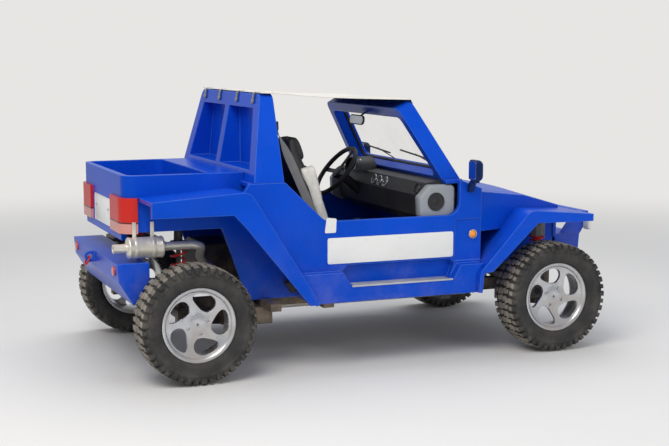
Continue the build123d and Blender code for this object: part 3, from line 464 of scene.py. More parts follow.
class Form:
    """Simple shapes gathered into one mesh, which becomes a piece."""

    def __init__(self):
        self.bm = bmesh.new()

    def rings(self, rings, closed=False):
        """Joins rings of points into a tube, closed round to the first ring or else capped at both ends."""
        made = [[self.bm.verts.new(p) for p in ring] for ring in rings]
        for k in range(len(made) if closed else len(made) - 1):
            ring, after = made[k], made[(k + 1) % len(made)]
            for i in range(len(ring)):
                j = (i + 1) % len(ring)
                self.bm.faces.new((ring[i], ring[j], after[j], after[i]))
        if not closed:
            self.bm.faces.new(made[0][::-1])
            self.bm.faces.new(made[-1])

    def lofted(self, sections, place=Matrix()):
        """Joins flat outlines, each given as (height, outline), and closes both ends."""
        self.rings([[place @ Vector((p[0], p[1], z)) for p in outline] for z, outline in sections])

    def prism(self, outline, depth, place=Matrix()):
        """A flat outline raised along Z by depth."""
        self.lofted([(0, outline), (depth, outline)], place)

    def slab(self, width, length, corner, depth, place, steps=5):
        """A flat plate with rounded corners."""
        self.prism(box_outline(width, length, corner, steps), depth, place)

    def boxes(self, levels, place):
        """Rounded boxes, each (height, width, length, corner), joined one above the other."""
        self.lofted([(z, box_outline(*size)) for z, *size in levels], place)

    def turned(self, profile, place=Matrix(), segments=40, core=0.0006):
        """Turns a closed profile of (along, radius) about the X axis, round a hair-thin core."""
        points = [(x, max(r, core)) for x, r in profile]
        rings = [[place @ Vector((x, r * cos(t), r * sin(t))) for x, r in points] for t in turns(segments)]
        self.rings(rings, closed=True)

    def tube(self, path, radius, segments=12):
        """A round tube along points; radius is one number or one for each point."""
        path = [Vector(p) for p in path]
        side = Vector(UP) if abs((path[1] - path[0]).normalized().z) < 0.9 else Vector(LEFT)
        rings = []
        for k, (point, thick) in enumerate(zip(path, each(radius, len(path)))):
            along = (path[min(k + 1, len(path) - 1)] - path[max(k - 1, 0)]).normalized()
            side = (side - along * side.dot(along)).normalized()
            other = along.cross(side)
            rings.append([point + (side * cos(t) + other * sin(t)) * thick for t in turns(segments)])
        self.rings(rings)

    def coil(self, centre, radius, wire, low, high, count):
        """A helical spring about an upright line; its end turns lie flat."""
        path = []
        for k in range(int(count * 28) + 1):
            turn = k / 28
            lift = min(max((turn - 0.75) / (count - 1.5), 0), 1)
            around = Vector((cos(2 * pi * turn), sin(2 * pi * turn), 0)) * radius
            path.append(around + Vector((*centre, low + (high - low) * lift)))
        self.tube(path, wire, 14)

    def mesh(self, name, material, bevel=0.0, steps=2, sharp=32, smooth=True):
        bmesh.ops.recalc_face_normals(self.bm, faces=self.bm.faces)
        if bevel:
            inner = [e for e in self.bm.edges if len(e.link_faces) == 2]
            edges = [e for e in inner if e.calc_face_angle() > radians(sharp)]
            settings = {"segments": steps, "profile": 0.6, "affect": "EDGES", "clamp_overlap": True}
            bmesh.ops.bevel(self.bm, geom=edges, offset=bevel, **settings)
        made = bpy.data.meshes.new(name)
        self.bm.to_mesh(made)
        self.bm.free()
        made.materials.append(material)
        if smooth:
            made.shade_smooth()
            made.set_sharp_from_angle(angle=radians(sharp))
        return made

    def piece(self, name, material, slot, *replaced, body="chassis", **finish):
        return add_piece(name, self.mesh(name, material, **finish), body, slot, *replaced)


# Tyres: a smooth casing with staggered tread blocks and lugs that wrap the shoulders
tyre_low, tyre_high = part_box("tyre_rear_left")
tyre_radius = (tyre_high[2] - tyre_low[2]) / 2
casing_profile = (
    # across, radius: bead, sidewall with its two moulded ribs, shoulder and crown
    (0.063, 0.1828), (0.07, 0.1935), (0.0795, 0.2015), (0.085, 0.205), (0.0868, 0.2052), (0.0895, 0.2095),
    (0.0945, 0.218), (0.096, 0.2182), (0.0968, 0.2215), (0.1, 0.232), (0.1022, 0.245), (0.102, 0.26),
    (0.103, 0.2612), (0.1022, 0.264), (0.0985, 0.277), (0.093, 0.288), (0.083, 0.2945), (0.064, 0.297),
    (0.035, 0.2982), (0, 0.2986),
)
pitch_count = 22
pitch = 2 * pi * tyre_radius / pitch_count
crown_blocks = (
    # across, around: the two blocks that each pitch has on one side of the middle
    (
        (0.003, -0.034), (0.026, -0.04), (0.051, -0.027), (0.051, -0.004), (0.036, 0.002), (0.024, -0.011),
        (0.003, -0.003),
    ),
    (
        (0.003, 0.009), (0.02, 0.002), (0.031, 0.014), (0.051, 0.009), (0.051, 0.031), (0.032, 0.036),
        (0.01, 0.031),
    ),
)
shoulder_lugs = (
    # across, top radius, half width, from the tread over the shoulder and down the sidewall; two kinds
    (
        (0.06, 0.3075, 0.0115), (0.082, 0.306, 0.014), (0.0985, 0.3025, 0.0145), (0.1068, 0.292, 0.0135),
        (0.107, 0.268, 0.0095),
    ),
    (
        (0.068, 0.307, 0.01), (0.084, 0.3058, 0.0115), (0.0975, 0.302, 0.012), (0.1062, 0.292, 0.011),
        (0.1066, 0.28, 0.0085),
    ),
)
lug_lead = 0.02
lug_lean = 0.12
tread_draft = 0.0016
block_root = 0.2955
crown_fall = 0.0035


def on_tread(across, around, radius):
    turn = around / tyre_radius
    return Vector((across, radius * cos(turn), radius * sin(turn)))


def crown_block(form, outline, hand, start):
    """One tread block whose sides lean out towards the casing."""
    middle_across = sum(p[0] for p in outline) / len(outline)
    middle_around = sum(p[1] for p in outline) / len(outline)
    top, root = [], []
    for across, around in outline:
        off_across, off_around = across - middle_across, around - middle_around
        grow = 1 + tread_draft / hypot(off_across, off_around)
        top.append(on_tread(hand * across, start + around, tyre_radius - crown_fall * (across / 0.06) ** 2))
        root_across = hand * (middle_across + off_across * grow)
        root.append(on_tread(root_across, start + middle_around + off_around * grow, block_root))
    form.rings([root, top])


def shoulder_lug(form, stations, hand, start):
    rings = []
    for across, radius, half in stations:
        middle = start + lug_lean * (across - stations[0][0])
        inner_across = min(across, 0.1) - (0.006 if across > 0.095 else 0)
        inner_radius = min(radius - 0.012, 0.2925) if across < 0.104 else radius - 0.004
        wide = half + tread_draft
        top = [on_tread(hand * across, middle + around, radius) for around in (-half, half)]
        foot = [on_tread(hand * inner_across, middle + around, inner_radius) for around in (wide, -wide)]
        rings.append(top + foot)
    form.rings(rings)


def tyre_mesh():
    casing, treads, joined = Form(), Form(), Form()
    casing.turned(casing_profile + tuple((-x, r) for x, r in reversed(casing_profile[:-1])), segments=120)
    for k in range(pitch_count):
        for hand, phase in ((1, 0), (-1, 0.5)):
            start = (k + phase) * pitch
            for outline in crown_blocks:
                crown_block(treads, outline, hand, start)
            for stations, later in zip(shoulder_lugs, (0, pitch / 2)):
                shoulder_lug(treads, stations, hand, start - lug_lead + later)
    joined.bm.from_mesh(casing.mesh("tyre_casing", TYRE))
    joined.bm.from_mesh(treads.mesh("tyre_blocks", TYRE, bevel=0.0017))
    return joined.mesh("tyre", TYRE, sharp=50)


# Rims: a turned disc and barrel with five leaning windows and four bolt holes cut through
spoke_count = 5
spoke_waist, spoke_waist_radius = 0.034, 0.115
window_low, window_high = 0.074, 0.163
window_lean = 0.26
window_power = 2 / 3.4
bolt_count, bolt_circle, bolt_radius = 4, 0.054, 0.0095
rim_profile = (
    # across, radius: round the barrel and the dished face, one closed loop
    (-0.076, 0.195), (-0.0775, 0.19), (-0.0745, 0.18), (-0.06, 0.1755), (-0.03, 0.165), (0.02, 0.165),
    (0.03, 0.16), (0.033, 0.13), (0.025, 0.08), (0.026, 0.052), (0.0308, 0.04), (0.0308, 0.005),
    (0.048, 0.005), (0.05, 0.033), (0.0465, 0.044), (0.044, 0.07), (0.047, 0.11), (0.056, 0.15),
    (0.061, 0.165), (0.064, 0.172), (0.072, 0.176), (0.0765, 0.185), (0.0775, 0.1905), (0.076, 0.195),
    (0.07, 0.19), (0.064, 0.1822), (-0.064, 0.1822), (-0.07, 0.19),
)


def spoke_width(radius):
    """Spokes flare out towards both ends."""
    off = (radius - spoke_waist_radius) / 0.045
    return spoke_waist + (0.02 * off**2 if off > 0 else -0.014 * off)


def window_outline(steps=56):
    """One window in the plane of the face, its middle at angle zero and leaning with the radius."""
    outline = []
    for turn in turns(steps):
        out = abs(cos(turn)) ** window_power * (1 if cos(turn) > 0 else -1)
        across = abs(sin(turn)) ** window_power * (1 if sin(turn) > 0 else -1)
        radius = (window_low + window_high) / 2 + out * (window_high - window_low) / 2
        half = (2 * pi / spoke_count - spoke_width(radius) / radius) / 2
        angle = across * half + window_lean * (radius - window_low) / (window_high - window_low)
        outline.append((radius * cos(angle), radius * sin(angle)))
    return outline


def rim_mesh():
    body, cutter = Form(), Form()
    body.turned(rim_profile, segments=160)
    for turn in turns(spoke_count):
        cutter.prism(window_outline(), 0.12, Matrix.Rotation(turn, 4, "X") @ placed((-0.01, 0, 0), REAR, UP))
    for turn in turns(bolt_count):
        y, z = bolt_circle * cos(turn + pi / 4), bolt_circle * sin(turn + pi / 4)
        hole = [(y + bolt_radius * cos(t), z + bolt_radius * sin(t)) for t in turns(20)]
        cutter.prism(hole, 0.05, placed((0.036, 0, 0), REAR, UP))
    cutters = in_scene("rim_cutters", cutter.mesh("rim_cutters", ALLOY, smooth=False))
    made = baked(
        "rim", body.mesh("rim", ALLOY, smooth=False),
        ("BOOLEAN", {"object": cutters, "operation": "DIFFERENCE", "solver": "EXACT"}),
        ("BEVEL", {"width": 0.0022, "segments": 3, "limit_method": "ANGLE", "angle_limit": radians(38)}),
    )
    bpy.data.objects.remove(cutters)
    made.shade_smooth()
    made.set_sharp_from_angle(angle=radians(40))
    return made


wheel_shapes = (("tyre", tyre_mesh(), "tyre_rubber"), ("rim", rim_mesh(), "wheel_silver"))
for corner, turn in zip(corners, (0.35, 0.0, 1.1, 0.5)):
    low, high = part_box(f"tyre_{corner}")
    outward = Matrix.Rotation(pi if corner.endswith("right") else 0, 4, "Z") @ Matrix.Rotation(turn, 4, "X")
    for kind, shape, slot in wheel_shapes:
        mesh = shape.copy()
        mesh.transform(outward)
        piece = add_piece(f"{kind}_detail_{corner}", mesh, f"wheel_{corner}", slot, f"{kind}_{corner}")
        piece.location = [(a + b) / 2 for a, b in zip(low, high)]

# Seats: each pad is a blank that the cloth solver blows up, on a moulded shell
seat_x = 0.335
pad_cap = 0.024
puff_pressure = 4.0
puff_frames = 20
channel_depth, channel_width = 0.009, 0.0065
base_place = placed((0, -0.0225, 0.6325), LEFT, (0, 0.9994, -0.0353))
back_place = placed((0, 0.19, 0.625), LEFT, (0, 0.2623, 0.965))


def pad_blank(width, length, depth, corner, edge=0.016):
    """A rounded block: X across, Y along, Z out of the seat."""
    form = Form()
    steps = ((0, 0.6), (edge * 0.5, 0), (depth - edge, 0), (depth - edge * 0.4, 0.25), (depth, 1))
    form.lofted([
        (z, box_outline(width - 2 * edge * inset, length - 2 * edge * inset, corner - 0.6 * edge * inset, 6))
        for z, inset in steps
    ])
    return form


def blown_up(name, mesh):
    """Runs the cloth solver with pressure inside, caps each point's way and keeps the underside flat."""
    rest = [v.co.copy() for v in mesh.vertices]
    blown = in_scene(name, mesh)
    cloth = blown.modifiers.new("cloth", "CLOTH")
    cloth.settings.use_pressure = True
    cloth.settings.uniform_pressure_force = puff_pressure
    cloth.settings.effector_weights.gravity = 0
    for step in range(1, puff_frames + 1):
        bpy.context.scene.frame_set(step)
    mesh = evaluated(blown)
    bpy.context.scene.frame_set(1)
    for vertex, start in zip(mesh.vertices, rest):
        move = vertex.co - start
        if move.length > pad_cap:
            vertex.co = start + move * (pad_cap / move.length)
        vertex.co.z = max(vertex.co.z, 0)
    return mesh


def puffed(name, form, material, channels=()):
    """A pad: the blank blown up, with sewn channels across it."""
    mesh = form.mesh(name, material, smooth=False)
    mesh = baked(name, mesh, ("REMESH", {"mode": "VOXEL", "voxel_size": 0.0075}))
    mesh = blown_up(name, mesh)
    fine = baked(name, mesh, ("SUBSURF", {"levels": 1, "render_levels": 1}))
    for vertex in fine.vertices:
        near_top = min(1, max(0, (vertex.co.z - 0.02) / 0.03))
        for place in channels:
            near = (vertex.co.y - place) / channel_width
            vertex.co.z -= channel_depth * exp(-near * near) * near_top
    fine.materials.clear()
    fine.materials.append(material)
    fine.shade_smooth()
    return fine


def taper(point, start, length, lean, thin, power=1):
    """Draws a point in towards the middle, and makes the pad thinner there, the further up it is."""
    up = min(max((point.y + start) / length, 0), 1)
    return Vector((point.x * (1 - lean * up**power), point.y, point.z * (1 - thin * up)))


def back_taper(point):
    return taper(point, 0.24, 0.48, 0.22, 0.16)


def head_taper(point):
    return taper(point, 0.075, 0.15, 0.2, 0.12, power=2)


def shaped(mesh, place, change=None):
    for vertex in mesh.vertices:
        vertex.co = place @ (change(vertex.co) if change else vertex.co)
    return mesh


pad_table = (
    # name, size, channels, the place it is in, how far up and how far back from there, its taper
    ("base", (0.285, 0.395, 0.08, 0.045), (-0.13, -0.065, 0, 0.065, 0.13), base_place, -0.002, -0.092, None),
    ("back", (0.255, 0.455, 0.066, 0.045), (-0.17, -0.1, -0.03, 0.04, 0.11), back_place, 0.262, -0.085, None),
    ("head", (0.225, 0.13, 0.06, 0.04), (), back_place, 0.572, -0.078, head_taper),
)
pads = {}
for name, size, channels, place, up, back, change in pad_table:
    mesh = puffed(name, pad_blank(*size), SEAT_DARK, channels)
    pads[f"seat_{name}_pad"] = shaped(mesh, raised(place, 0, up, back), change)
base_side = puffed("base_side", pad_blank(0.06, 0.385, 0.098, 0.026, 0.012), SEAT_DARK)
# The back's side bolsters take the pale vinyl: painted sunlight on their faces
back_side = puffed("back_side", pad_blank(0.064, 0.465, 0.096, 0.028, 0.012), SEAT_PAINTED_SUNLIT)
for name, hand in (("a", 1), ("b", -1)):
    base_at = raised(base_place, hand * 0.178, -0.002, -0.096)
    back_at = raised(back_place, hand * 0.166, 0.25, -0.092) @ Matrix.Rotation(-hand * 0.035, 4, "Z")
    pads[f"seat_base_side_{name}"] = shaped(base_side.copy(), base_at)
    pads[f"seat_back_side_{name}"] = shaped(back_side.copy(), back_at, back_taper)

shell = Form()
rings = []
for up, half, front, rear in (
    # up the back, half width, front and rear of the moulded shell
    (-0.08, 0.196, -0.06, -0.14), (0.00, 0.204, -0.058, -0.15), (0.2, 0.206, -0.056, -0.14),
    (0.38, 0.2, -0.054, -0.128), (0.47, 0.185, -0.052, -0.12), (0.52, 0.145, -0.05, -0.114),
    (0.56, 0.118, -0.048, -0.106), (0.61, 0.108, -0.044, -0.094), (0.635, 0.094, -0.042, -0.082),
):
    outline = box_outline(2 * half, front - rear, min(0.03, (front - rear) * 0.42))
    rings.append([back_place @ Vector((x, up, (front + rear) / 2 + z)) for x, z in outline])
shell.rings(rings)
shell_base = (
    # height, width, length, corner
    (0.5004, 0.38, 0.47, 0.03), (0.508, 0.405, 0.5, 0.045), (0.545, 0.412, 0.508, 0.05),
    (0.556, 0.396, 0.494, 0.045),
)
shell.boxes(shell_base, Matrix.Translation((0, 0.03, 0)))
shell_mesh = shell.mesh("seat_shell", SOFT_BLACK, bevel=0.003, sharp=40)
for name, side in sides:
    for pad, mesh in pads.items():
        piece = add_piece(f"{pad}_{name}", mesh, "chassis", "seat_cloth", f"seat_{name}")
        piece.location = (side * seat_x, 0, 0)
    piece = add_piece(f"seat_shell_{name}", shell_mesh, "chassis", "soft_black", f"seat_{name}")
    piece.location = (side * seat_x, 0, 0)

# Canopy: one sheet of canvas pulled tight between the header and the hoop, its underside a dark cloth that
# paints the shade beneath it
canopy_low, canopy_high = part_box("canopy")
canopy_half = canopy_high[0]
canopy_length = canopy_high[1] - canopy_low[1]
canopy_rise = (canopy_high[2] - 0.01 - canopy_low[2]) / canopy_length
hoop_front = 0.562
lip_drop = 0.03
across_count, along_count, lip_count = 56, 84, 6
screen_up = Vector((0, 0.5025, 0.8646))
screen_out = Vector((0, -0.8646, 0.5025))


def canopy_point(u, v):
    """A point of the sheet: u from -1 to 1 across, v from 0 at the header to 1 at the rear hem."""
    along = v * canopy_length
    y = canopy_low[1] + along
    slack = sin(pi * min(max(along / (hoop_front - canopy_low[1]), 0), 1))
    x = u * canopy_half * (1 - 0.03 * slack * abs(u) ** 3)
    z = canopy_low[2] + canopy_rise * along + 0.0035 - 0.011 * slack * (1 - 0.35 * u * u)
    ripple = noise.noise(Vector((x * 9, y * 2.2, 0.3))) * 0.5
    ripple += noise.noise(Vector((x * 24, y * 7, 1.7))) * 0.22
    return Vector((x, y, z + 0.0042 * ripple * min(1, 3 * slack)))


def with_lip(u, row):
    """The sheet's points by row: the first rows turn down over the header."""
    if row >= lip_count:
        return canopy_point(u, (row - lip_count) / along_count)
    drop = lip_drop * (1 - row / lip_count)
    return canopy_point(u, 0) - screen_up * drop + screen_out * 0.0032 * min(1, drop / 0.006)


row_count = lip_count + along_count
columns = across_count + 1
points = [with_lip(2 * i / across_count - 1, row) for row in range(row_count + 1) for i in range(columns)]
starts = [row * columns + i for row in range(row_count) for i in range(across_count)]
flat = bpy.data.meshes.new("canopy_sheet")
flat.from_pydata(points, [], [(a, a + 1, a + columns + 1, a + columns) for a in starts])
flat.materials.append(CLOTH)
flat.materials.append(CLOTH_UNDER_SHADE)
# The sheet's inner side takes the dark cloth: painted shade under the canopy
cloth = baked("canopy_sheet", flat, ("SOLIDIFY", {"thickness": 0.0016, "offset": -1.0, "material_offset": 1}))
cloth.shade_smooth()
canopy = add_piece("canopy_sheet", cloth, "chassis", "canopy_cloth", "canopy")

hems = Form()
for hand in (-1, 1):
    hem = ((0.002, 0.001), (0.002, -0.0035), (-0.02, -0.0035), (-0.02, 0.0012))
    edges = [canopy_point(hand, k / along_count) for k in range(along_count + 1)]
    hems.rings([[edge + Vector((hand * x, 0, z)) for x, z in hem] for edge in edges])
hem = ((0.002, 0.001), (0.002, -0.0033), (-0.022, -0.0033), (-0.022, 0.0012))
edges = [canopy_point(2 * k / across_count - 1, 1) for k in range(across_count + 1)]
hems.rings([[edge + Vector((0, y, z)) for y, z in hem] for edge in edges])
hem_piece = hems.piece("canopy_hems", CLOTH, "canopy_cloth", bevel=0.0008, steps=1, sharp=50)

straps = Form()
rear_down = Vector((0, 0.19, -0.982))
for x in (-0.44, -0.16, 0.16, 0.44):
    top = Vector((x, 0.6, canopy_point(x / canopy_half, 0.96).z + 0.0022))
    bend = Vector((x, 0.6375, 1.4705))
    end = bend + rear_down * 0.055
    rings = []
    for point in bent_path([top, (x, 0.628, 1.4775), bend, end], 0.008, 4):
        near_rear = min(max((point.y - 0.618) / 0.02, 0), 1)
        out = Vector((0, 0.982 * near_rear, 1 - 0.81 * near_rear)).normalized()
        strip = ((-0.015, 0), (0.015, 0), (0.015, 0.0018), (-0.015, 0.0018))
        rings.append([point + Vector((w, 0, 0)) + out * t for w, t in strip])
    straps.rings(rings)
    buckle = placed(end - rear_down * 0.014 + Vector((0, 0.002, 0)), LEFT, -rear_down)
    straps.slab(0.04, 0.02, 0.004, 0.004, buckle, 3)
strap_piece = straps.piece("canopy_straps", BELT_WEB, "soft_black", bevel=0.0005, steps=1, sharp=50)

# Plain signs, latch plates and tread strips on the sides, and the plain plate at the tail
wall_x = 0.7
rivet = ((0, 0), (0, 0.0055), (0.0008, 0.0052), (0.0022, 0.003), (0.0026, 0))
for name, side in sides:
    sign, latch, tread = Form(), Form(), Form()
    sign.slab(0.745, 0.14, 0.012, 0.003, flat_on(side, wall_x, -0.0525, 0.64))
    sign.piece(f"sign_panel_{name}", PANEL_WHITE, "canopy_cloth", bevel=0.0008)
    for y in (-0.405, -0.1, 0.1, 0.3):
        for z in (0.585, 0.695):
            latch.turned(rivet, out_from(side, wall_x + 0.0028, y, z), 14, core=0.0002)
    outline = rounded([(-0.032, -0.04), (0.032, -0.04), (0.036, 0.036), (-0.02, 0.042)], 0.008)
    latch.prism(outline, 0.004, flat_on(side, wall_x, 0.305, 0.778))
    latch.piece(f"latch_plate_{name}", PANEL_WHITE, "canopy_cloth", bevel=0.0006, steps=1)
    ledge = Matrix.Translation((side * 0.7115, -0.1, 0.4552))
    tread.slab(0.08, 0.585, 0.01, 0.0022, ledge)
    for k in range(7):
        tread.slab(0.0042, 0.56, 0.002, 0.002, raised(ledge, side * (0.0105 * k - 0.0305), 0, 0.002), 3)
    tread.slab(0.006, 0.6, 0.0028, 0.01, raised(ledge, side * 0.0435, 0, -0.0062), 3)
    tread.piece(f"tread_strip_{name}", PLAIN_BRIGHT, "plain_metal", bevel=0.0006, steps=1)

plate, plate_bolts = Form(), Form()
plate_place = placed((0, 1.3655, 0.836), RIGHT, UP)
plate.slab(0.38, 0.15, 0.01, 0.0022, plate_place)
rim_line = [plate_place @ Vector((*p, 0.0022)) for p in box_outline(0.376, 0.146, 0.009)]
plate.tube(rim_line + rim_line[:2], 0.0018, 6)
plate.piece("number_plate", PANEL_WHITE, "canopy_cloth", bevel=0.0006, steps=1, sharp=60)
bolt = ((0, 0), (0, 0.0075), (0.003, 0.007), (0.0045, 0.004), (0.0048, 0))
for x in (-0.15, 0.15):
    plate_bolts.turned(bolt, placed((x, 1.3672, 0.85), REAR, UP), 16, core=0.0003)
plate_bolts.piece("number_plate_bolts", PLAIN, "plain_metal", sharp=50)

# Exhaust: a bent pipe, a can with rolled ends and straps, and an open tip
can_x, can_y, can_z = -0.52, 1.165, 0.69
pipe_x = -0.2
exhaust = Form()
run = [
    (pipe_x, -0.8, 0.385), (pipe_x, -0.8, 0.274), (pipe_x, 0.62, 0.274), (pipe_x, 0.74, 0.45),
    (pipe_x, 0.88, 0.56), (can_x, 0.96, can_z), (can_x, can_y + 0.015, can_z),
]
exhaust.tube(bent_path(run, 0.08, 8), 0.0225, 20)
can_place = placed((can_x, can_y, can_z), REAR, UP)
can = (
    # along, radius
    (0, 0.0225), (0.001, 0.044), (0.004, 0.053), (0.009, 0.0565), (0.014, 0.0565), (0.017, 0.0545),
    (0.176, 0.0545), (0.18, 0.0565), (0.185, 0.0565), (0.19, 0.053), (0.193, 0.044), (0.195, 0.024),
    (0.2, 0.0235), (0.262, 0.0235), (0.265, 0.0245), (0.266, 0.0225), (0.264, 0.0205), (0.15, 0.0205),
    (0.15, 0.0225),
)
exhaust.turned(can, can_place, 56)
for along in (0.048, 0.142):
    strap = ((along, 0.054), (along, 0.0575), (along + 0.016, 0.0575), (along + 0.016, 0.054))
    exhaust.turned(strap, can_place, 56)
    hanger = placed((can_x, can_y + along + 0.01, 0.78), REAR, UP)
    exhaust.slab(0.02, 0.085, 0.003, 0.004, hanger, 2)
exhaust.piece("exhaust_detail", STEEL, "exhaust_metal", "exhaust", bevel=0.0012, sharp=38)

# Coil springs: behind with their dampers, in front round the struts
rear_coils, dampers = Form(), Form()
damper = (
    (0, 0.006), (0, 0.018), (0.05, 0.018), (0.052, 0.044), (0.06, 0.044), (0.062, 0.024), (0.19, 0.024),
    (0.194, 0.013), (0.352, 0.013), (0.353, 0.042), (0.361, 0.044), (0.366, 0.024), (0.425, 0.022),
    (0.425, 0.006),
)
spring_seat = ((0, 0.0235), (0, 0.047), (0.004, 0.049), (0.008, 0.047), (0.008, 0.0235))
for _, side in sides:
    centre = (side * 0.428, 1.06)
    rear_coils.coil(centre, 0.0385, 0.0062, 0.4075, 0.693, 7.5)
    dampers.turned(damper, placed((*centre, 0.34), UP, LEFT), 32)
rear_coils.piece("rear_coils", SPRING, "spring_red", "rear_springs")
dampers.piece("rear_dampers", FRAME_PAINT, "frame_black", "rear_springs", bevel=0.001, sharp=40)
for name, side in sides:
    centre = (side * 0.545, -1.05)
    front_coil = Form()
    front_coil.coil(centre, 0.04, 0.006, 0.508, 0.63, 4.5)
    front_coil.turned(spring_seat, placed((*centre, 0.494), UP, LEFT), 32)
    front_coil.piece(f"front_coil_{name}", SPRING, "spring_red", body=f"knuckle_{name}")

# Steering wheel: a round grip, three spokes and a padded hub
wheel_centre = (0.33, -0.15, 0.968)
wheel_face = placed(wheel_centre, LEFT, (0, 0.6293, -0.7771))
wheel_axle = placed(wheel_centre, (0, 0.7771, 0.6293), LEFT)
steering = Form()
steering.turned([(0.0142 * sin(t), 0.17 + 0.013 * cos(t)) for t in turns(18)], wheel_axle, 84)
hub_pad = (
    (-0.061, 0.01), (-0.061, 0.022), (-0.034, 0.022), (-0.03, 0.036), (-0.012, 0.044), (-0.004, 0.041),
    (0, 0.03), (0.001, 0.01), (0.001, 0.001), (-0.061, 0.001),
)
steering.turned(hub_pad, wheel_axle, 48)
spoke = [(0.02, -0.019), (0.08, -0.013), (0.165, -0.0145), (0.165, 0.0145), (0.08, 0.013), (0.02, 0.019)]
for turn in (0, 180, 270):
    around = wheel_face @ Matrix.Rotation(radians(turn), 4, "Z")
    steering.lofted([(z, spoke) for z in (-0.015, -0.0125, -0.0075)], around)
steering.piece(
    "steering_wheel_detail", SOFT_BLACK, "soft_black", "steering_wheel", body="steering_wheel",
    bevel=0.0016, sharp=38,
)

# Grey pods with a round speaker on each outer face
pod_outline = (
    (-0.455, 0.965), (-0.455, 0.76), (-0.3, 0.76), (-0.24, 0.79), (-0.235, 0.9), (-0.3, 0.965),
)
pod_y, pod_z = -0.345, 0.862
surround = ((0, 0.04), (0, 0.05), (0.005, 0.0505), (0.008, 0.048), (0.008, 0.044), (0.0055, 0.04))
cone = (
    (0, 0), (0, 0.0415), (0.0058, 0.0415), (0.007, 0.0385), (0.0058, 0.0355), (0.0015, 0.016),
    (0.004, 0.0135), (0.0062, 0.007), (0.0068, 0),
)
for name, side in sides:
    pod, speaker = Form(), Form()
    sections = []
    for height, share in ((0.0, 1.0), (0.036, 1.0), (0.047, 0.975), (0.053, 0.93), (0.055, 0.86)):
        drawn_in = [(pod_y + share * (y - pod_y), pod_z + share * (z - pod_z)) for y, z in pod_outline]
        sections.append((height, rounded([(side * y, z) for y, z in drawn_in], 0.026 * share, 6)))
    pod.lofted(sections, flat_on(side, 0.61, 0, 0))
    pod.piece(f"speaker_pod_{name}", GREY, "pod_grey", "speaker_pods", bevel=0.0012, steps=1, sharp=50)
    out = out_from(side, 0.6645, -0.335, 0.874)
    speaker.turned(surround, out, 48)
    speaker.turned(cone, out, 48)
    for turn in turns(4):
        at = raised(out, 0.006, 0.0465 * cos(turn + pi / 4), 0.0465 * sin(turn + pi / 4))
        speaker.turned(((0, 0), (0, 0.0028), (0.0028, 0.0022), (0.003, 0)), at, 12, core=0.0003)
    speaker.piece(f"speaker_{name}", SOFT_BLACK, "soft_black", bevel=0.0005, steps=1, sharp=45)

# Mirrors: rounded heads on bent arms, with their glass facing back
head_x, head_z = 0.765, 1.048
head_outline = (
    (-0.046, -0.052), (0.036, -0.058), (0.046, -0.044), (0.046, 0.046), (0.03, 0.058), (-0.03, 0.058),
    (-0.046, 0.042),
)
head_steps = (
    # ahead of the rim, share of the outline
    (0.003, 0.9), (0, 0.93), (0.0005, 0.965), (0.005, 1), (0.022, 1), (0.036, 0.93), (0.046, 0.8),
    (0.052, 0.58), (0.054, 0.25),
)
arm_outline = (
    (0.7, 0.925), (0.7, 0.96), (0.742, 1), (0.79, 1), (0.79, 0.98), (0.752, 0.978), (0.725, 0.925),
)
arm_corners = (0.003, 0.01, 0.01, 0.008, 0.006, 0.008, 0.003)
for name, side in sides:
    head, pane = Form(), Form()
    sections = []
    for height, share in head_steps:
        outline = [(side * x * share, z * share) for x, z in head_outline]
        sections.append((height, rounded(outline, 0.01 * share)))
    head.lofted(sections, placed((side * head_x, -0.505, head_z), LEFT, UP))
    arm = rounded([(side * x, z) for x, z in arm_outline], arm_corners, 4)
    head.prism(arm, 0.028, placed((0, -0.51, 0), LEFT, UP))
    head.piece(f"mirror_{name}", MIRROR_SHELL, "dark_trim", "mirrors", bevel=0.0012, sharp=42)
    glass = rounded([(-side * x * 0.89, z * 0.89) for x, z in head_outline], 0.008)
    pane.prism(glass, 0.0022, placed((side * head_x, -0.5062, head_z), RIGHT, UP))
    pane.piece(f"mirror_pane_{name}", MIRROR, "plain_metal", bevel=0.0005, steps=1)

# Headlamps with a rim, a bowl, a bulb and a glass, and square lamps on the bar
lamp_rim = (
    (0.024, 0.064), (0.028, 0.0655), (0.037, 0.0652), (0.041, 0.062), (0.039, 0.0585), (0.03, 0.0565),
    (0.026, 0.0575),
)
lamp_bowl = (
    (0.03, 0.0575), (0.018, 0.05), (0.006, 0.034), (0.001, 0.015), (-0.001, 0.015), (0.003, 0.036),
    (0.015, 0.052), (0.028, 0.06),
)
lamp_bulb = ((0, 0), (0, 0.016), (0.004, 0.015), (0.006, 0.0065), (0.02, 0.006), (0.024, 0.0035), (0.025, 0))
lamp_dome = (
    (0.035, 0.058), (0.0385, 0.048), (0.0408, 0.028), (0.0415, 0), (0.0395, 0), (0.0388, 0.028),
    (0.0365, 0.048), (0.033, 0.058),
)
bar_shell = ((0, 0.058, 0.082, 0.012), (0.014, 0.06, 0.084, 0.012), (0.018, 0.056, 0.08, 0.011))
bar_pane = ((0.0182, 0.052, 0.076, 0.01), (0.0215, 0.05, 0.074, 0.01), (0.024, 0.042, 0.066, 0.009))
lamp_metal, lamp_glass, bar_shells = Form(), Form(), Form()
for _, side in sides:
    ahead = placed((side * 0.3, -1.222, 0.695), FRONT, UP)
    for profile, segments in ((lamp_rim, 64), (lamp_bowl, 64), (lamp_bulb, 32)):
        lamp_metal.turned(profile, ahead, segments)
    lamp_glass.turned(lamp_dome, ahead, 64)
    on_bar = placed((side * 0.452, -1.44, 0.68), LEFT, UP)
    bar_shells.boxes(bar_shell, on_bar)
    lamp_glass.boxes(bar_pane, on_bar)
lamp_metal.piece("headlamp_bowls", CHROME, "plain_metal", "front_lamps", sharp=50)
lamp_glass.piece("lamp_glasses", LAMP_GLASS, "lamp_clear", "front_lamps", sharp=40)
bar_shells.piece("bar_lamp_shells", BAR_PALE, "lamp_clear", "front_lamps", bevel=0.001, sharp=40)

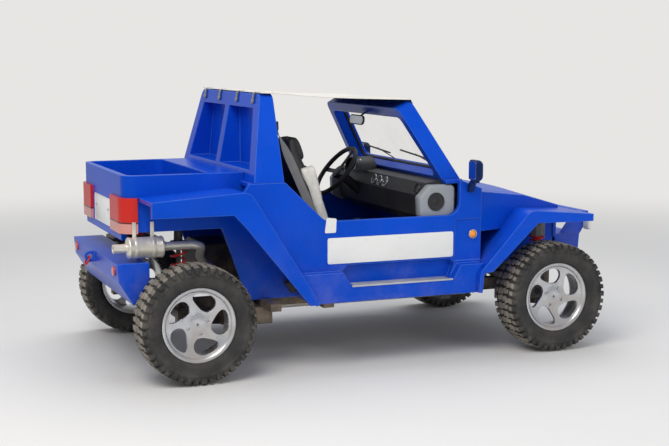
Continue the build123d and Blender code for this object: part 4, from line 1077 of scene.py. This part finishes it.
# Round side markers: a bright ring round a domed lens
marker_ring = ((0, 0.0265), (0.01, 0.0265), (0.013, 0.0248), (0.0125, 0.0218), (0, 0.021))
marker_dome = ((0.002, 0), (0.002, 0.0212), (0.0095, 0.0206), (0.0138, 0.015), (0.0158, 0.007), (0.0162, 0))
for name, side in sides:
    out = out_from(side, 0.694, -0.545, 0.69)
    ring, dome = Form(), Form()
    ring.turned(marker_ring, out, 48)
    dome.turned(marker_dome, out, 48)
    ring.piece(f"marker_ring_{name}", CHROME, "plain_metal", "side_markers", sharp=50)
    dome.piece(f"marker_lens_{name}", LENS_AMBER, "lamp_amber", "side_markers", sharp=50)

# Dashboard: end vents, three small dials, and a hooded pair of dials behind the steering wheel
face_out, face_up = (0, 0.932, 0.362), (0, -0.362, 0.932)
vent_radius = 0.0275
vent = (
    (0, 0), (0, 0.034), (0.006, 0.0345), (0.0085, 0.032), (0.008, 0.0285), (0.002, vent_radius), (0.002, 0),
)
vents, dials, marks, hood = Form(), Form(), Form(), Form()


def dial(place, radius, needle):
    """A round instrument: ring, dark face, ticks and a needle. place looks out along its X axis."""
    dials.turned((
        (0, radius), (0, radius + 0.005), (0.005, radius + 0.004), (0.0055, radius), (0.002, radius - 0.0005),
    ), place)
    vents.turned(((0, 0), (0, radius), (0.0012, radius), (0.0012, 0)), place, core=0.0005)
    facing = placed((0, 0, 0), REAR, UP)
    tick = box_outline(0.0012, radius * 0.2, 0.0005, 1)
    for k in range(9):
        around = place @ Matrix.Rotation(radians(-135 + 270 * k / 8), 4, "X")
        marks.prism(tick, 0.0005, raised(around, 0.0014, 0, radius * 0.8) @ facing)
    root, tip = -radius * 0.36, radius * 0.4
    hand = raised(place @ Matrix.Rotation(radians(needle), 4, "X"), 0.002, 0, radius * 0.33)
    marks.prism([(-0.0009, root), (0.0009, root), (0.0004, tip), (-0.0004, tip)], 0.0005, hand @ facing)


def arch(half_width, height, step):
    return [(half_width * cos(radians(a)), height * sin(radians(a))) for a in range(0, 181, step)]


for x in (-0.535, 0.535):
    vents.turned(vent, placed((x, -0.2868, 0.936), face_out, face_up), core=0.0005)
    for up in (-0.018, -0.006, 0.006, 0.018):
        vane_place = raised(placed((x, -0.2868, 0.936), RIGHT, face_up), 0, up, 0.0022)
        vents.slab(2 * sqrt(vent_radius**2 - up**2), 0.0028, 0.001, 0.0042, vane_place, 2)
for x, needle in ((-0.1, -60), (-0.02, 10), (0.06, 45)):
    dial(placed((x, -0.2866, 0.936), face_out, face_up), 0.0255, needle)
hood_start = placed((0.33, -0.378, 0.972), RIGHT, UP)
foot = -0.01
outer, inner = arch(0.1, 0.078, 10), arch(0.091, 0.07, 10)
rim = [(0.1, foot), *outer, (-0.1, foot), (-0.091, foot), *reversed(inner), (0.091, foot)]
hood.prism(rim, 0.13, hood_start)
hood.prism([(0.093, foot), *arch(0.093, 0.072, 12), (-0.093, foot)], 0.09, hood_start)
hood.piece("dial_hood", TRIM, "dark_trim", bevel=0.0015, sharp=40)
for x, needle in ((0.04, -80), (-0.04, -30)):
    dial(placed((0.33 + x, -0.2875, 1.006), REAR, UP), 0.03, needle)
vents.piece("dash_vents", DIAL, "dark_trim", sharp=45)
dials.piece("dial_rings", CHROME, "plain_metal", sharp=50)
marks.piece("dial_marks", MARKS, "canopy_cloth", smooth=False)

# Lever console: a moulded tray, a folded boot, the lever and a brake lever
console = Form()
tray_corners = [(0.065, 0.14), (0.035, 0.17), (-0.035, 0.17), (-0.065, 0.14)]
tray = rounded(tray_corners + [(-x, -y) for x, y in tray_corners], 0.014, 4)
tray_steps = ((0.5001, 1), (0.538, 1), (0.547, 0.955), (0.55, 0.9))
tray_place = Matrix.Translation((0, -0.06, 0))
console.lofted([(z, [p * share for p in tray]) for z, share in tray_steps], tray_place)
upright = placed((0, -0.15, 0.548), UP, LEFT)
boot = [(0, 0), (0, 0.046)]
for k in range(5):
    boot += [(0.006 + 0.0115 * k, 0.044 - 0.0072 * k), (0.0115 + 0.0115 * k, 0.0375 - 0.0068 * k)]
console.turned(boot + [(0.066, 0.0105), (0.07, 0.0085), (0.07, 0)], upright)
lever = (
    (0.06, 0), (0.06, 0.0065), (0.128, 0.006), (0.128, 0.011), (0.134, 0.019), (0.146, 0.024),
    (0.157, 0.0225), (0.164, 0.014), (0.1665, 0),
)
console.turned(lever, upright)
brake_path = bent_path([(0.034, 0.07, 0.548), (0.034, 0.03, 0.585), (0.034, -0.075, 0.612)], 0.03)
console.tube(brake_path, [0.011] * 7 + [0.0095, 0.0125], 14)
console.piece("lever_console_detail", SOFT_BLACK, "soft_black", "lever_console", bevel=0.0012, sharp=40)

# Windscreen: rubber seal, two wipers and the inner mirror
screen = placed((0, -0.44, 0.992), LEFT, screen_up)
screen_length = hypot(0.24, 0.413)
pane_low, pane_high = 0.042, screen_length - 0.062


def pane_half(up):
    """Half the pane's width at a height up the screen: the frame narrows upwards."""
    return 0.64 - 0.11 * up / screen_length - 0.058


low_half, high_half = pane_half(pane_low), pane_half(pane_high)
pane_corners = [(low_half, pane_low), (high_half, pane_high), (-high_half, pane_high), (-low_half, pane_low)]
seal = Form()
for height in (0.0255, 0.0165):
    loop = [screen @ Vector((*p, height)) for p in rounded(pane_corners, 0.041, 8)]
    seal.tube(loop + loop[:2], 0.0052, 8)
wiper_reach, wiper_length, wiper_lean = 0.162, 0.36, 0.16
wiper_knob = ((-0.012, 0), (-0.012, 0.011), (0.006, 0.01), (0.009, 0.006), (0.009, 0))
blade_section = ((-0.0035, 0.0345), (0.0035, 0.0345), (0.0012, 0.0252), (-0.0012, 0.0252))
for pivot in (-0.42, 0.12):
    elbow_x = pivot + 0.03
    up = wiper_lean * wiper_length
    base = screen @ Vector((pivot, 0.006, 0.052))
    elbow = screen @ Vector((elbow_x, 0.05, 0.04))
    tip = screen @ Vector((elbow_x + wiper_reach, 0.05 + up, 0.036))
    seal.turned(wiper_knob, placed(base, screen_out, LEFT), 20)
    seal.tube(bent_path([base, elbow, tip], 0.02, 5), 0.0032, 8)
    middle = Vector((elbow_x + wiper_reach, 0.048 + up, 0))
    along = Vector((1, 0.1, 0)).normalized() * wiper_length / 2
    blade = []
    for share in (-1, -0.6, 0, 0.6, 1):
        blade.append([screen @ (middle + along * share + Vector((0, y, z))) for y, z in blade_section])
    seal.rings(blade)
seal.piece("windscreen_seal_and_wipers", SOFT_BLACK, "soft_black", sharp=50)

inner_mirror, inner_pane = Form(), Form()
stalk_top = screen @ Vector((0, pane_high, -0.03))
mirror_at = stalk_top + Vector((0, 0.052, -0.04))
stalk = [stalk_top + Vector((0, -0.006, 0.004)), stalk_top + Vector((0, 0.025, -0.01)), mirror_at]
inner_mirror.tube(bent_path(stalk, 0.02, 5), 0.0055, 12)
shell_place = placed(mirror_at + Vector((0, 0.01, 0)), RIGHT, (0, -0.12, 0.99))
inner_mirror.boxes((
    (-0.02, 0.15, 0.034, 0.016), (-0.01, 0.196, 0.052, 0.024), (0, 0.204, 0.058, 0.026),
    (0.001, 0.196, 0.05, 0.023),
), shell_place)
inner_mirror.piece("inner_mirror", SOFT_BLACK, "soft_black", bevel=0.0015, sharp=42)
inner_pane.slab(0.19, 0.045, 0.021, 0.0012, raised(shell_place, 0, 0, 0.0008))
inner_pane.piece("inner_mirror_pane", MIRROR, "plain_metal", smooth=False)

# Belts: flat webbing from a guide on the hoop's pillar to an anchor on the sill and to a reel behind the seat
web_half, web_thick_half = 0.023, 0.0007
web_steps = 24


def web(form, start, end, side, bow):
    """Webbing between two points, its face to the front; a bowed run twists to face out and sags."""
    run = end - start
    rings = []
    for k in range(web_steps + 1):
        share = k / web_steps
        twist = min(1, share * 5) if bow else 0
        normal = (Vector(FRONT) * (1 - twist) + Vector((side, 0, 0)) * twist).normalized()
        wide = run.cross(normal).normalized() * web_half
        thick = wide.cross(run).normalized() * web_thick_half
        spot = start + run * share + Vector((side * bow * sin(pi * share), 0, -0.02 * bow))
        rings.append([spot + wide + thick, spot - wide + thick, spot - wide - thick, spot + wide - thick])
    form.rings(rings)


for name, side in sides:
    belt, fittings = Form(), Form()
    guide = Vector((side * 0.536, 0.5475, 1.285))
    sill_end = Vector((side * 0.597, 0.215, 0.5))
    web(belt, guide, sill_end, side, 0.012)
    web(belt, guide + Vector((0, 0.003, 0)), Vector((side * 0.548, 0.452, 0.47)), side, 0)
    fittings.slab(0.062, 0.034, 0.01, 0.0105, placed(guide + Vector((0, -0.004, 0.01)), RIGHT, UP))
    guide_bolt = ((0, 0), (0, 0.012), (0.005, 0.011), (0.007, 0.007), (0.007, 0))
    fittings.turned(guide_bolt, placed(guide + Vector((0, -0.0045, 0.03)), FRONT, UP), 20)
    fittings.slab(0.056, 0.05, 0.01, 0.0065, flat_on(side, 0.593, 0.215, 0.485))
    reel = ((-0.028, 0.058, 0.07, 0.01), (0.02, 0.058, 0.07, 0.01))
    fittings.boxes(reel, placed((side * 0.548, 0.47, 0.44), RIGHT, (0, 0.55, 0.83)))
    tongue = guide.lerp(sill_end, 0.62) + Vector((side * 0.013, 0, 0))
    fittings.slab(0.05, 0.026, 0.006, 0.004, placed(tongue, (0, -side * 0.92, 0.39), (0, 0.39, 0.92)))
    fittings.tube([(side * 0.108, 0.195, 0.47), (side * 0.109, 0.185, 0.56)], 0.005, 10)
    buckle = ((0, 0.022, 0.038, 0.006), (0.06, 0.024, 0.042, 0.007), (0.066, 0.018, 0.034, 0.006))
    fittings.boxes(buckle, Matrix.Translation((side * 0.109, 0.185, 0.555)))
    belt.piece(f"belt_{name}", BELT_WEB, "seat_cloth", sharp=60)
    fittings.piece(f"belt_fittings_{name}", SOFT_BLACK, "soft_black", bevel=0.0012, sharp=40)

# Tail: a red ring through the tow eye, and two round reflectors on the bumper
tow_ring, reflectors = Form(), Form()
tow_eye, ring_radius = Vector((0, 1.445, 0.58)), 0.0255
hang = Vector((0, cos(radians(62)), -sin(radians(62)))) * ring_radius
loop = [tow_eye + hang + Vector((ring_radius * sin(t), 0, 0)) - hang * cos(t) for t in turns(48)]
tow_ring.tube(loop + loop[:2], 0.0052, 12)
tow_ring.piece("tow_ring", SPRING, "spring_red", sharp=60)
reflector = ((0, 0), (0, 0.027), (0.006, 0.0265), (0.009, 0.0225), (0.0095, 0))
for _, side in sides:
    reflectors.turned(reflector, placed((side * 0.48, 1.416, 0.57), REAR, UP))
reflectors.piece("rear_reflectors", LENS_RED, "lamp_red", bevel=0.0006, steps=1, sharp=50)

# Stage: a pale floor that fades into a plain backdrop
reach = 40
floor_mesh = bpy.data.meshes.new("floor")
floor_corners = [(x * reach, y * reach, 0) for x, y in ((-1, -1), (1, -1), (1, 1), (-1, 1))]
floor_mesh.from_pydata(floor_corners, [], [(0, 1, 2, 3)])
floor = in_scene("floor", floor_mesh)
ground = Shader("pale_floor")
cloudy = ground.mix(ground.noise(0.9, 4), (0.72, 0.71, 0.69), (0.76, 0.75, 0.73))
ground.set(Base_Color=cloudy, Roughness=0.85)
ground.bump(ground.noise(60, 3), 0.05, 0.001)
away = ground.add("VectorMath", {0: ground.coords}, operation="LENGTH").outputs["Value"]
rays = ground.add("LightPath").outputs
seen = ground.math("MAXIMUM", rays["Is Camera Ray"], rays["Is Transmission Ray"])
plain = ground.add("Emission", {"Color": PALE_STAGE}).outputs[0]
far = ground.times(ground.ramp(away, 3.2, 9.0), seen)
shown_floor = ground.add("MixShader", {0: far, 1: ground.bsdf.outputs[0], 2: plain}).outputs[0]
ground.feed(ground.tree.nodes["Material Output"].inputs["Surface"], shown_floor)
floor_mesh.materials.append(ground.mat)

# The world lights with a soft sky, and what sees it directly or through glass gets the plain backdrop
world = bpy.data.worlds.new("soft_studio")
bpy.context.scene.world = world
world.use_nodes = True
sky = world.node_tree.nodes
join = world.node_tree.links.new
lit = sky["Background"]
lit.inputs["Color"].default_value = (0.9, 0.93, 1.0, 1)
lit.inputs["Strength"].default_value = 0.52
shown = sky.new("ShaderNodeBackground")
shown.inputs["Color"].default_value = (*PALE_STAGE, 1)
rays = sky.new("ShaderNodeLightPath").outputs
either = sky.new("ShaderNodeMath")
either.operation = "MAXIMUM"
join(rays["Is Camera Ray"], either.inputs[0])
join(rays["Is Transmission Ray"], either.inputs[1])
choose = sky.new("ShaderNodeMixShader")
for k, source in enumerate((either, lit, shown)):
    join(source.outputs[0], choose.inputs[k])
join(choose.outputs[0], sky["World Output"].inputs["Surface"])


# Lights and the camera
def stood(name, data, place, target):
    """Puts a lamp or the camera at a place and turns it to a target."""
    made = in_scene(name, data)
    made.location = place
    made.rotation_mode = "QUATERNION"
    made.rotation_quaternion = (Vector(target) - Vector(place)).to_track_quat("-Z", "Y")
    return made


def area_light(name, place, target, size, power, colour=(1, 1, 1)):
    data = bpy.data.lights.new(name, "AREA")
    data.shape = "RECTANGLE"
    data.size, data.size_y = size
    data.energy = power
    data.color = colour
    return stood(name, data, place, target)


area_light("key_light", (-3.6, 3.2, 5.2), (0, 0, 0.6), (3.2, 3.2), 225, (1.0, 0.97, 0.93))
area_light("top_light", (1.8, -0.6, 6.0), (0, 0, 0.8), (4.5, 4.5), 150)
fill_light = area_light("fill_light", (-6.0, -3.4, 2.6), (0, -0.4, 0.7), (3.5, 2.5), 80, (0.93, 0.96, 1.0))
# The fill only lifts the shade: mirrored by the bonnet it would leave a white patch
fill_light.visible_glossy = False

# The camera stands where the photograph's camera stood, and a longer lens lets the one car fill the frame
camera_data = bpy.data.cameras.new("camera")
camera_data.lens = 71
camera_data.sensor_width = 36
bpy.context.scene.camera = stood("camera", camera_data, (-7.124, 2.891, 1.697), (-0.06, 0.02, 0.7))
bpy.context.scene.view_settings.view_transform = "Standard"
